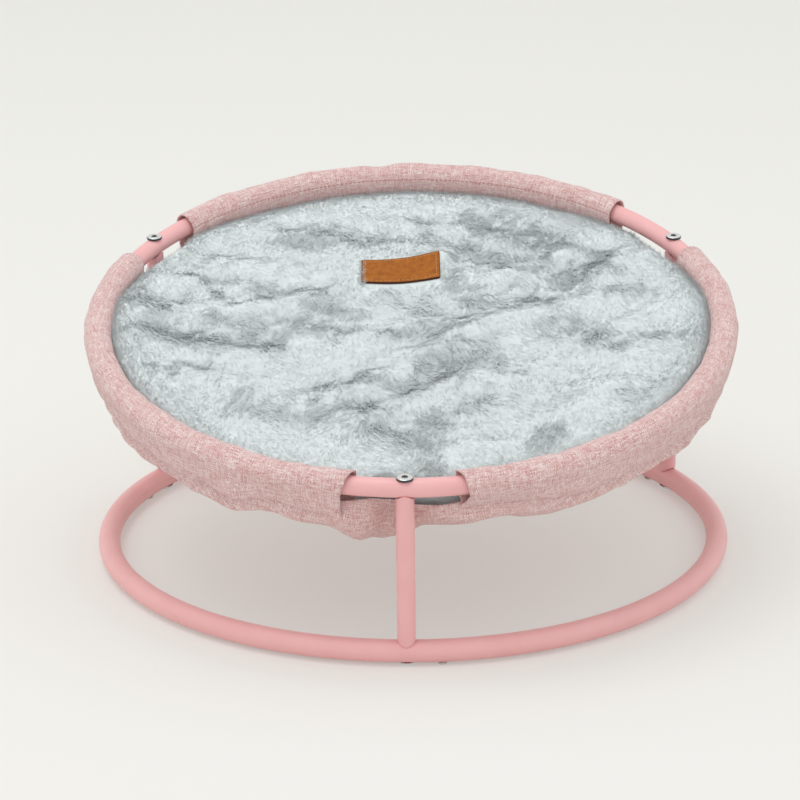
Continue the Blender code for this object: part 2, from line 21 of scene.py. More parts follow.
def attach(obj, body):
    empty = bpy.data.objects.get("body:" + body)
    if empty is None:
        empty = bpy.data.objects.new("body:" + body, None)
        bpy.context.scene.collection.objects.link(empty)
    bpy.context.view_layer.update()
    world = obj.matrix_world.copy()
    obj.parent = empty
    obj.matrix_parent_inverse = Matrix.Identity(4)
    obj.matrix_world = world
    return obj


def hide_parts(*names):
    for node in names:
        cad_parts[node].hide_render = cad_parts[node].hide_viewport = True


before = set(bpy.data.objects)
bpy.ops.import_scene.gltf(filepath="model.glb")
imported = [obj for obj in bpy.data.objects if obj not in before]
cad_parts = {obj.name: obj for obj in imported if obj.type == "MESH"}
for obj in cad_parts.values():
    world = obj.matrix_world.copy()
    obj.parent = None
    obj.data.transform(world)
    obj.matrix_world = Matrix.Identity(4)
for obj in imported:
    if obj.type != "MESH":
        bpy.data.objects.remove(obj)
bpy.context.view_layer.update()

# %% [markdown]
# ## Sizes of the stand
#
# The rings, tubes and bolts have the same sizes here as in the CAD model. All are in metres.
# Both rings have one radius, and the legs lean by half of the rim's tilt.

# %% Sizes of the stand
MM = 0.001
a_hair = 0.01 * MM

ring_radius = 217.4 * MM
rim_tilt = radians(11.8)
leg_lean = rim_tilt / 2
front_leg_rise = 119.0 * MM
leg_names = ("front", "back_right", "back_left")
leg_angles = tuple(radians(-90.0 + 120.0 * k) for k in range(3))

base_tube_radius = 7.6 * MM
rim_tube_radius = 6.4 * MM
leg_tube_radius = 6.1 * MM
leg_tube_wall = 1.2 * MM
fit_gap = 0.3 * MM

foot_cap_height = 1.3 * MM
base_height = foot_cap_height + fit_gap + base_tube_radius
leg_shift = front_leg_rise * tan(leg_lean)
rim_shift = ring_radius * cos(rim_tilt) - ring_radius - leg_shift
base_y = (leg_shift + rim_tube_radius - base_tube_radius) / 2
rim_height = base_height + front_leg_rise + ring_radius * sin(rim_tilt)

base_frame = Matrix.Translation((0.0, base_y, base_height))
rim_frame = (Matrix.Translation((0.0, base_y + rim_shift, rim_height))
             @ Matrix.Rotation(rim_tilt, 4, "X"))
print("rim centre:", [round(value / MM, 1) for value in rim_frame.translation], "mm")

# %% Frames of the legs
def ring_point(angle):
    """Point on a ring's centre line, in the ring's own frame."""
    return Vector((ring_radius * cos(angle), ring_radius * sin(angle), 0.0))


def leg_frame(angle, from_top=False):
    """Frame on a ring's centre line whose Z runs into the leg."""
    ends = [base_frame @ ring_point(angle), rim_frame @ ring_point(angle)]
    start, end = reversed(ends) if from_top else ends
    along = (end - start).normalized()
    tangent = Vector((-sin(angle), cos(angle), 0.0))
    side = along.cross(tangent).normalized()
    turn = Matrix((side.cross(along), side, along)).transposed().to_4x4()
    return Matrix.Translation(start) @ turn


# %% [markdown]
# ## Helpers for modelling
#
# Blender's operators act on what is selected. These helpers start each piece with nothing
# selected, pick faces or edges by their place, and bake a finished piece's place into its
# mesh, so that every object sits at the origin, as the CAD nodes do.

# %% Helpers for modelling
def deselect():
    if bpy.context.object and bpy.context.object.mode != "OBJECT":
        bpy.ops.object.mode_set(mode="OBJECT")
    bpy.ops.object.select_all(action="DESELECT")


def make_active(piece):
    deselect()
    piece.select_set(True)
    bpy.context.view_layer.objects.active = piece


def edit(piece, kind):
    """Open a piece in edit mode, with nothing selected, to pick EDGE or FACE."""
    make_active(piece)
    bpy.ops.object.mode_set(mode="EDIT")
    bpy.ops.mesh.select_mode(type=kind)
    bpy.ops.mesh.select_all(action="DESELECT")


def middle_of(part):
    return sum((corner.co for corner in part.verts), Vector()) / len(part.verts)


def pick(piece, kind, test):
    """Select the parts of a piece in edit mode whose middle passes the test."""
    work = bmesh.from_edit_mesh(piece.data)
    for part in {"EDGE": work.edges, "FACE": work.faces}[kind]:
        part.select_set(bool(test(part)))
    work.select_flush_mode()
    bmesh.update_edit_mesh(piece.data)


def apply_modifier(piece, kind, **settings):
    """Add a modifier, set it and apply it."""
    make_active(piece)
    modifier = piece.modifiers.new(kind.title(), kind)
    for name, value in settings.items():
        setattr(modifier, name, value)
    bpy.ops.object.modifier_apply(modifier=modifier.name)


def settle(piece, place=None):
    """Put a piece at its place and bake the place into its mesh."""
    make_active(piece)
    if place is not None:
        piece.matrix_world = place @ piece.matrix_world
    bpy.ops.object.transform_apply(location=True, rotation=True, scale=True)


def begin(name, add_primitive, **settings):
    """Start a piece from one of Blender's primitives, with nothing else selected."""
    deselect()
    add_primitive(**settings)
    piece = bpy.context.object
    piece.name = piece.data.name = name
    return piece


def put_in_scene(name, data):
    item = bpy.data.objects.new(name, data)
    bpy.context.scene.collection.objects.link(item)
    return item


def copy_to(master, name, place):
    """Copy a piece with its own mesh and settle the copy at a place."""
    piece = put_in_scene(name, master.data.copy())
    piece.data.name = name
    settle(piece, place)
    return piece


def smooth_by_angle(piece, degrees):
    make_active(piece)
    bpy.ops.object.shade_smooth_by_angle(angle=radians(degrees))


def extrude_up(height):
    bpy.ops.mesh.extrude_region_move(TRANSFORM_OT_translate={"value": (0.0, 0.0, height)})


def dress(piece, material, body, slot, *nodes):
    """Give a piece its material and its body, and hide the CAD nodes that it stands for. The slot is not used.
    """
    piece.data.materials.clear()
    piece.data.materials.append(material)
    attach(piece, body)
    if nodes:
        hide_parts(*nodes)
    print(piece.name, len(piece.data.polygons), "faces")
    return piece


# %% [markdown]
# ## Camera
#
# The camera was fitted to the two rings, the bolts and the tube edges in the photograph.
# It looks down by 19 degrees from two metres away with a long lens, so that the bed hardly
# tapers, and it is rolled by half a degree.

# %% Camera
camera_place = Vector((0.04723, -2.17427, 0.86871))
camera_forward = Vector((-0.02413, 0.94382, -0.32958)).normalized()
camera_roll = -0.00895
camera_lens = 146.58
camera_sensor = 36.0

level = camera_forward.cross(Vector((0.0, 0.0, 1.0))).normalized()
upright = level.cross(camera_forward)
camera_right = level * cos(camera_roll) + upright * sin(camera_roll)
camera_up = upright * cos(camera_roll) - level * sin(camera_roll)

camera_data = bpy.data.cameras.new("camera")
camera_data.lens = camera_lens
camera_data.sensor_width = camera_sensor
camera = put_in_scene("camera", camera_data)
turn = Matrix((camera_right, camera_up, -camera_forward)).transposed().to_4x4()
camera.matrix_world = Matrix.Translation(camera_place) @ turn
bpy.context.scene.camera = camera
print("camera stands", round(camera_place.length, 2), "m from the bed's middle")

# %% [markdown]
# ## Light
#
# The photograph was taken in a bright white room: light comes from all round, a little more
# of it from above, and the bed throws a soft shadow straight down. A pale world and one wide
# lamp overhead give the same. Together they light a level white surface to about white.

# %% Light
bpy.context.scene.view_settings.view_transform = "Standard"
bpy.context.scene.cycles.diffuse_bounces = 12
bpy.context.scene.cycles.max_bounces = 16

world = bpy.data.worlds.new("white_room")
world.use_nodes = True
room = world.node_tree.nodes["Background"]
room.inputs["Color"].default_value = (0.985, 0.99, 1.0, 1.0)
room.inputs["Strength"].default_value = 0.92
bpy.context.scene.world = world


lamp_place = Vector((-0.5, -0.2, 2.4))
lamp_aim = Vector((0.0, 0.0, 0.1))

lamp_data = bpy.data.lights.new("ceiling_lamp", "AREA")
lamp_data.shape = "SQUARE"
lamp_data.size = 1.6
lamp_data.energy = 14.0
lamp_data.color = (1.0, 0.99, 0.975)
lamp = put_in_scene("ceiling_lamp", lamp_data)
lamp.location = lamp_place
lamp.rotation_euler = (lamp_aim - lamp_place).to_track_quat("-Z", "Y").to_euler()
print("lamp:", lamp.name, lamp_data.energy, "W")

# %% [markdown]
# ## Helpers for finishes
#
# Each finish is a node tree that is built with short calls. Patterns lie in the piece's own
# space, or in its own map where the piece is cloth, so they stay put when it moves.

# %% Helpers for finishes
def shade(red, green, blue):
    """A colour as a screen shows it, from 0 to 255, turned into the light that it sends back."""
    parts = [value / 255.0 for value in (red, green, blue)]
    return tuple(v / 12.92 if v <= 0.04045 else ((v + 0.055) / 1.055) ** 2.4 for v in parts)


class Finish:
    """A material's node tree, with short calls that add nodes and join them."""

    def __init__(self, name, **sockets):
        self.material = bpy.data.materials.new(name)
        self.material.use_nodes = True
        self.tree = self.material.node_tree
        self.shader = self.tree.nodes["Principled BSDF"]
        for socket, value in sockets.items():
            if isinstance(value, tuple):
                value = (*value, 1.0)
            self.shader.inputs[socket.replace("_", " ")].default_value = value

    def node(self, kind, **settings):
        made = self.tree.nodes.new(kind)
        for name, value in settings.items():
            setattr(made, name, value)
        return made

    def join(self, source, target):
        self.tree.links.new(source, target)

    def fill(self, socket, value):
        """Set a socket to a number, or join it to another node's output."""
        if isinstance(value, bpy.types.NodeSocket):
            self.join(value, socket)
        else:
            socket.default_value = value

    def math(self, operation, first, second=0.0, third=0.0):
        made = self.node("ShaderNodeMath", operation=operation)
        for socket, value in zip(made.inputs, (first, second, third)):
            self.fill(socket, value)
        return made.outputs[0]

    def map_place(self, uv_map):
        """The two coordinates of a piece's own UV map."""
        source = self.node("ShaderNodeUVMap", uv_map=uv_map).outputs[0]
        parts = self.node("ShaderNodeSeparateXYZ")
        self.join(source, parts.inputs[0])
        return parts.outputs["X"], parts.outputs["Y"]

    def vector(self, x, y, z=0.0):
        made = self.node("ShaderNodeCombineXYZ")
        for socket, value in zip(made.inputs, (x, y, z)):
            self.fill(socket, value)
        return made.outputs[0]

    def noise(self, scale, detail=2.0, roughness=0.5, place=None):
        """Noise from 0 to 1, at a place or else in the piece's own space."""
        made = self.node("ShaderNodeTexNoise")
        if place is None:
            place = self.node("ShaderNodeTexCoord").outputs["Object"]
        self.join(place, made.inputs["Vector"])
        for socket, value in (("Scale", scale), ("Detail", detail), ("Roughness", roughness)):
            made.inputs[socket].default_value = value
        return made.outputs["Fac"]

    def ramp(self, value, *stops):
        """Colours at places from 0 to 1, given as (place, colour)."""
        made = self.node("ShaderNodeValToRGB")
        while len(made.color_ramp.elements) < len(stops):
            made.color_ramp.elements.new(0.5)
        for element, (place, colour) in zip(made.color_ramp.elements, stops):
            element.position = place
            element.color = (*colour, 1.0)
        self.join(value, made.inputs["Fac"])
        return made.outputs["Color"]

    def blend(self, share, first, second):
        """Mix two colours. Each is a socket or a plain colour."""
        made = self.node("ShaderNodeMix", data_type="RGBA")
        self.fill(made.inputs["Factor"], share)
        for socket, colour in zip((made.inputs[6], made.inputs[7]), (first, second)):
            self.fill(socket, (*colour, 1.0) if isinstance(colour, tuple) else colour)
        return made.outputs[2]

    def relief(self, height, depth, strength=1.0):
        """Bump from a height between 0 and 1, depth in metres."""
        made = self.node("ShaderNodeBump")
        made.inputs["Strength"].default_value = strength
        made.inputs["Distance"].default_value = depth
        self.join(height, made.inputs["Height"])
        self.set("Normal", made.outputs["Normal"])

    def set(self, socket, source):
        self.join(source, self.shader.inputs[socket])


# %% [markdown]
# ## Floor
#
# The floor and the backdrop are one sheet of pale paper that curves up behind the bed. It is
# modelled from a plane: the far edge is extruded upwards and the corner is bevelled round.

# %% Floor and backdrop
floor_half = 3.0
backdrop_y = 3.2
backdrop_height = 3.4
backdrop_bend = 0.9
close_by = 0.01

floor = begin("paper_floor", bpy.ops.mesh.primitive_plane_add, size=2 * floor_half)
edit(floor, "EDGE")
pick(floor, "EDGE", lambda edge: middle_of(edge).y > floor_half - close_by)
bpy.ops.transform.translate(value=(0.0, backdrop_y - floor_half, 0.0))
extrude_up(backdrop_height)
pick(floor, "EDGE", lambda edge: middle_of(edge).y > backdrop_y - close_by and middle_of(edge).z < close_by)
bpy.ops.mesh.bevel(offset=backdrop_bend, segments=24, affect="EDGES")
deselect()
floor.data.shade_smooth()

# The camera sees the paper partly as lit from behind, as in the photograph, where the
# backdrop is evenly pale and the bed's shadow is light. Other light meets plain paper.
paper_glow = 0.32

paper = Finish("backdrop_paper", Base_Color=shade(234, 232, 227), Roughness=0.9, Specular_IOR_Level=0.1)
glow = paper.node("ShaderNodeEmission")
glow.inputs["Color"].default_value = (*shade(243, 246, 242), 1.0)
seen = paper.node("ShaderNodeLightPath")
seen_straight = paper.math("MAXIMUM", seen.outputs["Is Camera Ray"], seen.outputs["Is Glossy Ray"])
seen_at_all = paper.math("MAXIMUM", seen_straight, seen.outputs["Is Transmission Ray"])
both = paper.node("ShaderNodeMixShader")
paper.join(paper.math("MULTIPLY", seen_at_all, paper_glow), both.inputs["Fac"])
paper.join(paper.shader.outputs[0], both.inputs[1])
paper.join(glow.outputs[0], both.inputs[2])
paper.join(both.outputs[0], paper.tree.nodes["Material Output"].inputs["Surface"])
floor.data.materials.append(paper.material)
print("floor faces:", len(floor.data.polygons))

# %% [markdown]
# ## Powder coat
#
# The tubes are steel with a pink powder coat, baked to a satin gloss. Powder melts into a
# skin like that of an orange, so the finish has faint bumps about a millimetre across, and
# its colour is a little deeper in some places than in others.

# %% Powder coat
coat = Finish("pink_powder_coat", Roughness=0.38, Specular_IOR_Level=0.42)
coat_tone = coat.noise(45.0, detail=3.0)
coat.set("Base Color", coat.ramp(coat_tone, (0.30, shade(236, 178, 177)), (0.70, shade(240, 184, 183))))
coat.relief(coat.noise(900.0, detail=1.0), 0.05 * MM, 0.35)
print("finish:", coat.material.name)

# %% [markdown]
# ## Base ring and rim
#
# Both rings are bent from round tube, and a torus is exactly that shape. Where a bolt's head
# sits, the tube is pressed flat, and the dent fades out along the tube. The rim is made of
# three arcs: the torus is cut by two planes and closed, and turned to each leg.

# %% Press a bolt's seat into a tube
seat_reach = 5.5 * MM


def press_seat(piece, seat, tube_radius, depth, dent_reach):
    """Flatten the tube round a bolt. The seat's frame has its Z running into the leg."""
    inverse = seat.inverted()
    floor_height = depth - tube_radius
    for vertex in piece.data.vertices:
        local = inverse @ vertex.co
        away = Vector((local.x, local.y)).length
        if local.z > 0.0 or away > dent_reach:
            continue
        share = min(max((away - seat_reach) / (dent_reach - seat_reach), 0.0), 1.0)
        lowest = floor_height - depth * share * share * (3.0 - 2.0 * share)
        if local.z < lowest:
            local.z = lowest
            vertex.co = seat @ local
    piece.data.update()


# %% Base ring
ring_sides = 264
base_seat_depth = 1.3 * MM
base_dent_reach = 17.0 * MM

base_ring = begin("base_ring_tube", bpy.ops.mesh.primitive_torus_add, major_segments=ring_sides,
                  minor_segments=40, major_radius=ring_radius, minor_radius=base_tube_radius)
settle(base_ring, base_frame)
for angle in leg_angles:
    press_seat(base_ring, leg_frame(angle), base_tube_radius, base_seat_depth, base_dent_reach)
base_ring.data.shade_smooth()
dress(base_ring, coat.material, "stand", "pink_powder_coat", "base_ring")

# %% Rim arcs
rim_seat_depth = 0.5 * MM
rim_dent_reach = 9.0 * MM
half_arc = pi / 3


def make_rim_arc(name, angle):
    """One leg's third of the rim, from halfway to one neighbour to halfway to the other."""
    arc = begin("rim_tube_" + name, bpy.ops.mesh.primitive_torus_add, major_segments=ring_sides,
                minor_segments=36, major_radius=ring_radius, minor_radius=rim_tube_radius)
    edit(arc, "FACE")
    for end, side in ((angle - half_arc, 1.0), (angle + half_arc, -1.0)):
        bpy.ops.mesh.select_all(action="SELECT")
        inward = Vector((-sin(end), cos(end), 0.0)) * side
        bpy.ops.mesh.bisect(plane_co=inward * fit_gap / 2, plane_no=inward, use_fill=True, clear_inner=True)
    deselect()
    settle(arc, rim_frame)
    press_seat(arc, leg_frame(angle, from_top=True), rim_tube_radius, rim_seat_depth, rim_dent_reach)
    smooth_by_angle(arc, 40.0)
    dress(arc, coat.material, "stand", "pink_powder_coat", "rim_arc_" + name)


for name, angle in zip(leg_names, leg_angles):
    make_rim_arc(name, angle)

# %% [markdown]
# ## Legs
#
# Each leg is a straight piece of tube whose ends are cut to the round of the ring that they
# meet, with a hair of space. An open cylinder is stretched until each end's edge stands that
# far from the ring, all the way round, and a Solidify modifier then gives the tube its wall.

# %% Legs
leg_sides = 64
leg_end_gap = 0.8 * MM
halvings = 40


def slide_to_ring(vertex, along, ring_frame, tube_radius):
    """Move a point along a leg until it is a gap away from the ring's tube."""
    inverse = ring_frame.inverted()
    low, high = 0.0, 2.5 * tube_radius
    for _ in range(halvings):
        reach = (low + high) / 2
        local = inverse @ (vertex + along * reach)
        around = Vector((local.x, local.y)).length - ring_radius
        inside = Vector((around, local.z)).length < tube_radius + leg_end_gap
        low, high = (reach, high) if inside else (low, reach)
    return vertex + along * high


def make_leg(name, angle):
    foot_end = base_frame @ ring_point(angle)
    head_end = rim_frame @ ring_point(angle)
    length = (head_end - foot_end).length
    along = (head_end - foot_end) / length
    leg = begin("leg_tube_" + name, bpy.ops.mesh.primitive_cylinder_add, vertices=leg_sides,
                radius=leg_tube_radius, depth=length, location=(0.0, 0.0, length / 2), end_fill_type="NOTHING")
    settle(leg, leg_frame(angle))
    for vertex in leg.data.vertices:
        at_foot = (vertex.co - foot_end).dot(along) < length / 2
        ring = (along, base_frame, base_tube_radius) if at_foot else (-along, rim_frame, rim_tube_radius)
        vertex.co = slide_to_ring(vertex.co, *ring)
    apply_modifier(leg, "SOLIDIFY", thickness=leg_tube_wall, offset=-1.0, use_even_offset=True)
    smooth_by_angle(leg, 40.0)
    dress(leg, coat.material, "stand", "pink_powder_coat", "leg_" + name)


for name, angle in zip(leg_names, leg_angles):
    make_leg(name, angle)

# %% [markdown]
# ## Bolts, bushes and feet
#
# Button head bolts with a hex socket hold the legs. One is modelled from a cylinder: its head
# is bevelled round, the shank is extruded from an inset of the underside, and the socket is a
# hexagon taken away with a Boolean modifier. The bushes in the legs keep their CAD shape.

# %% Bright metal
# Places in a bolt's map that tell its plain top from its side and its socket, both painted dark as shade
plain_chrome, shaded_side, in_socket = 0.0, 0.5, 1.0

# The head's side wall is painted dark as painted shade and a dark reflection under the head, and the socket is
# painted darker as painted shade in its recess.
chrome = Finish("bolt_chrome", Metallic=1.0)
grime, _ = chrome.map_place("grime")
chrome.set("Base Color", chrome.ramp(grime, (plain_chrome, shade(232, 234, 235)), (shaded_side, shade(78, 80, 82)),
                                     (in_socket, shade(140, 146, 143))))
chrome.set("Roughness", chrome.math("MULTIPLY_ADD", chrome.noise(400.0), 0.16, 0.18))
chrome.relief(chrome.noise(1500.0, detail=1.0), 0.02 * MM, 0.3)

steel = Finish("bush_steel", Base_Color=shade(172, 174, 177), Metallic=1.0)
steel.set("Roughness", steel.math("MULTIPLY_ADD", steel.noise(600.0), 0.2, 0.3))
steel.relief(steel.noise(2500.0, detail=1.0), 0.03 * MM, 0.4)

bushes = [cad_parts["bush_%s_%s" % (end, name)] for end in ("base", "rim") for name in leg_names]
for bush in bushes:
    for slot in bush.material_slots:
        slot.material = steel.material
print("bushes:", len(bushes))

# %% One bolt, copied to each leg's two ends
bolt_head_radius = 5.5 * MM
bolt_head_height = 1.7 * MM
bolt_head_round = 0.8 * MM
bolt_shank_radius = 3.0 * MM
bolt_length = 25.0 * MM
socket_half_width = 2.0 * MM
socket_depth = 0.8 * MM
shank_tip = 0.5 * MM


def headed_pin(name, sides, top, head_radius, head_height, pin_radius, pin_length):
    """A round head that ends at a height, with a thinner pin standing on it. The pin's end stays picked."""
    piece = begin(name, bpy.ops.mesh.primitive_cylinder_add, vertices=sides, radius=head_radius,
                  depth=head_height, location=(0.0, 0.0, top - head_height / 2))
    settle(piece)
    edit(piece, "FACE")
    pick(piece, "FACE", lambda face: middle_of(face).z > top - a_hair)
    bpy.ops.mesh.inset(thickness=head_radius - pin_radius)
    extrude_up(pin_length)
    return piece


def round_head(piece, bottom, width, segments):
    """Bevel a head's lower edge."""
    edit(piece, "EDGE")
    pick(piece, "EDGE", lambda edge: all(corner.co.z < bottom + a_hair for corner in edge.verts))
    bpy.ops.mesh.bevel(offset=width, segments=segments, affect="EDGES")


bolt = headed_pin("bolt_master", 48, 0.0, bolt_head_radius, bolt_head_height, bolt_shank_radius, bolt_length)
bpy.ops.mesh.inset(thickness=shank_tip, depth=shank_tip)
round_head(bolt, -bolt_head_height, bolt_head_round, 6)

socket = begin("socket_cutter", bpy.ops.mesh.primitive_cylinder_add, vertices=6,
               radius=socket_half_width / cos(pi / 6), depth=2 * socket_depth,
               location=(0.0, 0.0, -bolt_head_height))
settle(socket)
apply_modifier(bolt, "BOOLEAN", operation="DIFFERENCE", solver="EXACT", object=socket)
bpy.data.objects.remove(socket)
# Mark the faces that get painted shade: the socket and the head's side wall.
painted_shade_map = bolt.data.uv_layers.new(name="grime")
for face in bolt.data.polygons:
    out = Vector(face.center[:2]).length
    painted_shade_here = plain_chrome
    if out < socket_half_width and -bolt_head_height < face.center.z < 0.0:
        painted_shade_here = in_socket
    elif out > bolt_head_radius - 0.25 * bolt_head_round and abs(face.normal.z) < 0.9:
        painted_shade_here = shaded_side
    for loop in face.loop_indices:
        painted_shade_map.data[loop].uv = (painted_shade_here, 0.0)
smooth_by_angle(bolt, 35.0)

for name, angle in zip(leg_names, leg_angles):
    for end, tube_radius, depth in (("base", base_tube_radius, base_seat_depth),
                                    ("rim", rim_tube_radius, rim_seat_depth)):
        place = leg_frame(angle, end == "rim") @ Matrix.Translation((0.0, 0.0, depth - tube_radius - fit_gap))
        piece = copy_to(bolt, "button_bolt_%s_%s" % (end, name), place)
        # The bolts under the base ring keep the painted shade in their socket but not on their side.
        if end == "base":
            for corner in piece.data.uv_layers["grime"].data:
                corner.uv.x = in_socket if corner.uv.x == in_socket else plain_chrome
        dress(piece, chrome.material, "stand", "bolt_chrome", "bolt_%s_%s" % (end, name))
bpy.data.objects.remove(bolt)

# %% Rubber feet
foot_offset = 23.5 * MM
foot_cap_radius = 3.0 * MM
foot_cap_round = 0.6 * MM
foot_stem_radius = 1.8 * MM
foot_stem_length = 3.0 * MM

rubber = Finish("foot_rubber", Base_Color=shade(208, 204, 196), Roughness=0.75)
rubber.relief(rubber.noise(1800.0), 0.04 * MM, 0.5)

foot = headed_pin("foot_master", 32, -base_tube_radius - fit_gap, foot_cap_radius, foot_cap_height,
                  foot_stem_radius, foot_stem_length)
round_head(foot, -base_height, foot_cap_round, 4)
smooth_by_angle(foot, 35.0)

for name, angle in zip(leg_names, leg_angles):
    place = base_frame @ Matrix.Translation(ring_point(angle + foot_offset / ring_radius))
    piece = copy_to(foot, "rubber_foot_" + name, place)
    dress(piece, rubber.material, "stand", "foot_rubber", "foot_" + name)
bpy.data.objects.remove(foot)

# %% [markdown]
# ## Linen
#
# The hammock is a coarse plain weave. Each thread is spun from fibres dyed in several pinks,
# so the cloth looks speckled from near and plain from afar. The finish reads the cloth's own
# map, which counts metres along and across it, so the threads follow every fold. A thread's
# number picks its colour, slow noise along it makes it lighter and darker, and where two
# threads cross, the one on top is the one that shows. The back sleeve's map starts further
# along than the others, so that only its seam shows a dashed line of stitches.

# %% Linen
thread_pitch = 0.80 * MM
stitched_map_start = 1.0  # where the back sleeve's map starts, in metres
seam_stitch_place = stitched_map_start + 42.5 * MM
seam_thread_width = 0.80 * MM
seam_stitch_length = 2.3 * MM
seam_stitch_step = 3.4 * MM

linen = Finish("pink_linen", Roughness=0.95, Specular_IOR_Level=0.15, Sheen_Weight=0.35, Sheen_Roughness=0.45)
along, across = linen.map_place("weave")
off_line = linen.math("ABSOLUTE", linen.math("SUBTRACT", across, seam_stitch_place))
on_line = linen.math("LESS_THAN", off_line, seam_thread_width / 2)
in_dash = linen.math("LESS_THAN", linen.math("FLOORED_MODULO", along, seam_stitch_step), seam_stitch_length)
sewn = linen.math("MULTIPLY", on_line, in_dash)

drift = linen.noise(70.0, place=linen.vector(along, across))
along = linen.math("MULTIPLY_ADD", drift, 1.6 * MM, along)
across = linen.math("MULTIPLY_ADD", drift, -1.2 * MM, across)
weft, warp = (linen.math("DIVIDE", place, thread_pitch) for place in (along, across))
weft_number, warp_number = linen.math("FLOOR", weft), linen.math("FLOOR", warp)
weft_shows = linen.math("FLOORED_MODULO", linen.math("ADD", weft_number, warp_number), 2.0)
warp_shows = linen.math("SUBTRACT", 1.0, weft_shows)


def on_top(weft_value, warp_value):
    """The value of the thread that lies on top."""
    return linen.math("ADD", linen.math("MULTIPLY", weft_value, weft_shows),
                      linen.math("MULTIPLY", warp_value, warp_shows))


def rounded(threads):
    return linen.math("ABSOLUTE", linen.math("SINE", linen.math("MULTIPLY", threads, pi)))


weft_place = linen.vector(linen.math("MULTIPLY", weft_number, 7.31), linen.math("MULTIPLY", warp, 0.12))
warp_place = linen.vector(linen.math("MULTIPLY", weft, 0.09), linen.math("MULTIPLY", warp_number, 5.17), 9.0)
tone = on_top(*(linen.noise(1.0, roughness=0.7, place=place) for place in (weft_place, warp_place)))
fibres = linen.noise(1400.0, detail=1.0, place=linen.vector(along, across))
tone = linen.math("MULTIPLY_ADD", fibres, 0.25, linen.math("MULTIPLY", tone, 0.75))
threads = linen.ramp(tone, (0.36, shade(203, 145, 142)), (0.50, shade(232, 194, 190)),
                     (0.63, shade(250, 235, 231)))
linen.set("Base Color", linen.blend(sewn, threads, shade(208, 148, 142)))
height = on_top(rounded(weft), rounded(warp))
linen.relief(linen.math("ADD", height, linen.math("MULTIPLY", tone, 0.8)), 0.30 * MM, 0.8)
print("threads:", round(thread_pitch / MM, 2), "mm apart")

# %% [markdown]
# ## Shaping cloth in code
#
# A sleeve and the bowl are each one sheet: a grid of points that is bent to its place, with a
# map that keeps the flat cloth's own measure. A Solidify modifier then gives the sheet the
# thickness of the cloth. Small random waves keep it from looking like plastic.

# %% Random waves and sheets
def waves(across, back, length, seed, terms=22):
    """Smooth random heights around zero, mostly between -1 and 1, with bumps of this length."""
    chance = np.random.default_rng(seed)
    turns = chance.uniform(0.0, 2.0 * pi, terms)
    speeds = 2.0 * pi / length * chance.uniform(0.6, 1.4, terms)
    starts = chance.uniform(0.0, 2.0 * pi, terms)
    total = np.zeros(np.broadcast(across, back).shape)
    for way, speed, start in zip(turns, speeds, starts):
        total += np.cos((across * cos(way) + back * sin(way)) * speed + start)
    return total / (terms ** 0.5)


def ease(values, low, high):
    """Rise smoothly from 0 at low to 1 at high."""
    share = np.clip((values - low) / (high - low), 0.0, 1.0)
    return share * share * (3.0 - 2.0 * share)


def unit(vectors):
    return vectors / np.maximum(np.linalg.norm(vectors, axis=-1, keepdims=True), 1e-9)


def bump(values, middle, width):
    return np.exp(-((values - middle) / width) ** 2)


def from_table(values, table):
    """Read a table of (place, millimetres) at many places, in metres."""
    return np.interp(values, *np.array(table).T) * MM


def on_circle(reach, angles):
    return reach * np.cos(angles), reach * np.sin(angles)


def round_places(reach, angles, height):
    """Points at a reach and an angle round the rim's axis, and at a height."""
    return np.stack(np.broadcast_arrays(*on_circle(reach, angles), height), axis=-1)


def grid_faces(rows, columns, wrap=False):
    row, column = np.meshgrid(np.arange(rows - 1), np.arange(columns if wrap else columns - 1), indexing="ij")
    here, below, after = row * columns, (row + 1) * columns, (column + 1) % columns
    return np.stack((here + column, here + after, below + after, below + column), axis=-1).reshape(-1, 4)


def sheet_of(name, places, along, across, wrap=False):
    """One sheet of cloth over a grid of points. The map holds its flat measure in metres.

    A sheet that wraps has one more column in its map than in its points.
    """
    rows, columns = places.shape[:2]
    faces = grid_faces(rows, columns, wrap)
    map_faces = grid_faces(rows, along.shape[1])
    mesh = bpy.data.meshes.new(name)
    mesh.from_pydata(places.reshape(-1, 3).tolist(), [], faces.tolist())
    flat = np.stack((along, across), axis=-1).reshape(-1, 2)[map_faces.reshape(-1)]
    mesh.uv_layers.new(name="weave").data.foreach_set("uv", flat.astype(np.float32).ravel())
    return put_in_scene(name, mesh)


def lengths_along(points, axis):
    """Distance walked along one axis of a grid of points, from its first."""
    steps = np.linalg.norm(np.diff(points, axis=axis), axis=-1)
    start = np.zeros_like(np.take(steps, [0], axis=axis))
    return np.concatenate((start, np.cumsum(steps, axis=axis)), axis=axis)


# %% [markdown]
# ## Sleeves
#
# Each sleeve is a band of linen laid over the rim tube and sewn together below it, with the
# bowl caught in the seam. Its cross-section is round over the tube and narrows to the seam.
# The seam draws the cloth in, so the band puckers above it, and each end is a doubled hem
# that was never cut quite square.

# %% The seam's line
sleeve_radius = 8.0 * MM
sleeve_cloth = 0.9 * MM
seam_drop = 18.5 * MM
seam_width = 3.0 * MM
seam_outset = 2.5 * MM

# How far the seam hangs below its even line, as (degrees round the rim, mm), front half only
seam_sags = (
    (-150, 0.8), (-138, 2.4), (-134, 3.2), (-130, 4.6), (-127, 1.6), (-125, 3.2), (-123, 5.6), (-120.7, 6.6),
    (-118, 4.4), (-115.7, 0.9), (-112.4, -1.0), (-109, 0.9), (-105, 2.6), (-100.5, 2.2), (-95, 1.0), (-85, -2.0),
    (-80.6, -5.2), (-77.3, -5.0), (-71.6, -4.0), (-66.8, -1.9), (-62.6, 1.0), (-58, 3.0), (-54.5, 1.9),
    (-50.5, 1.2), (-46, 0.6), (-30, 0.4))


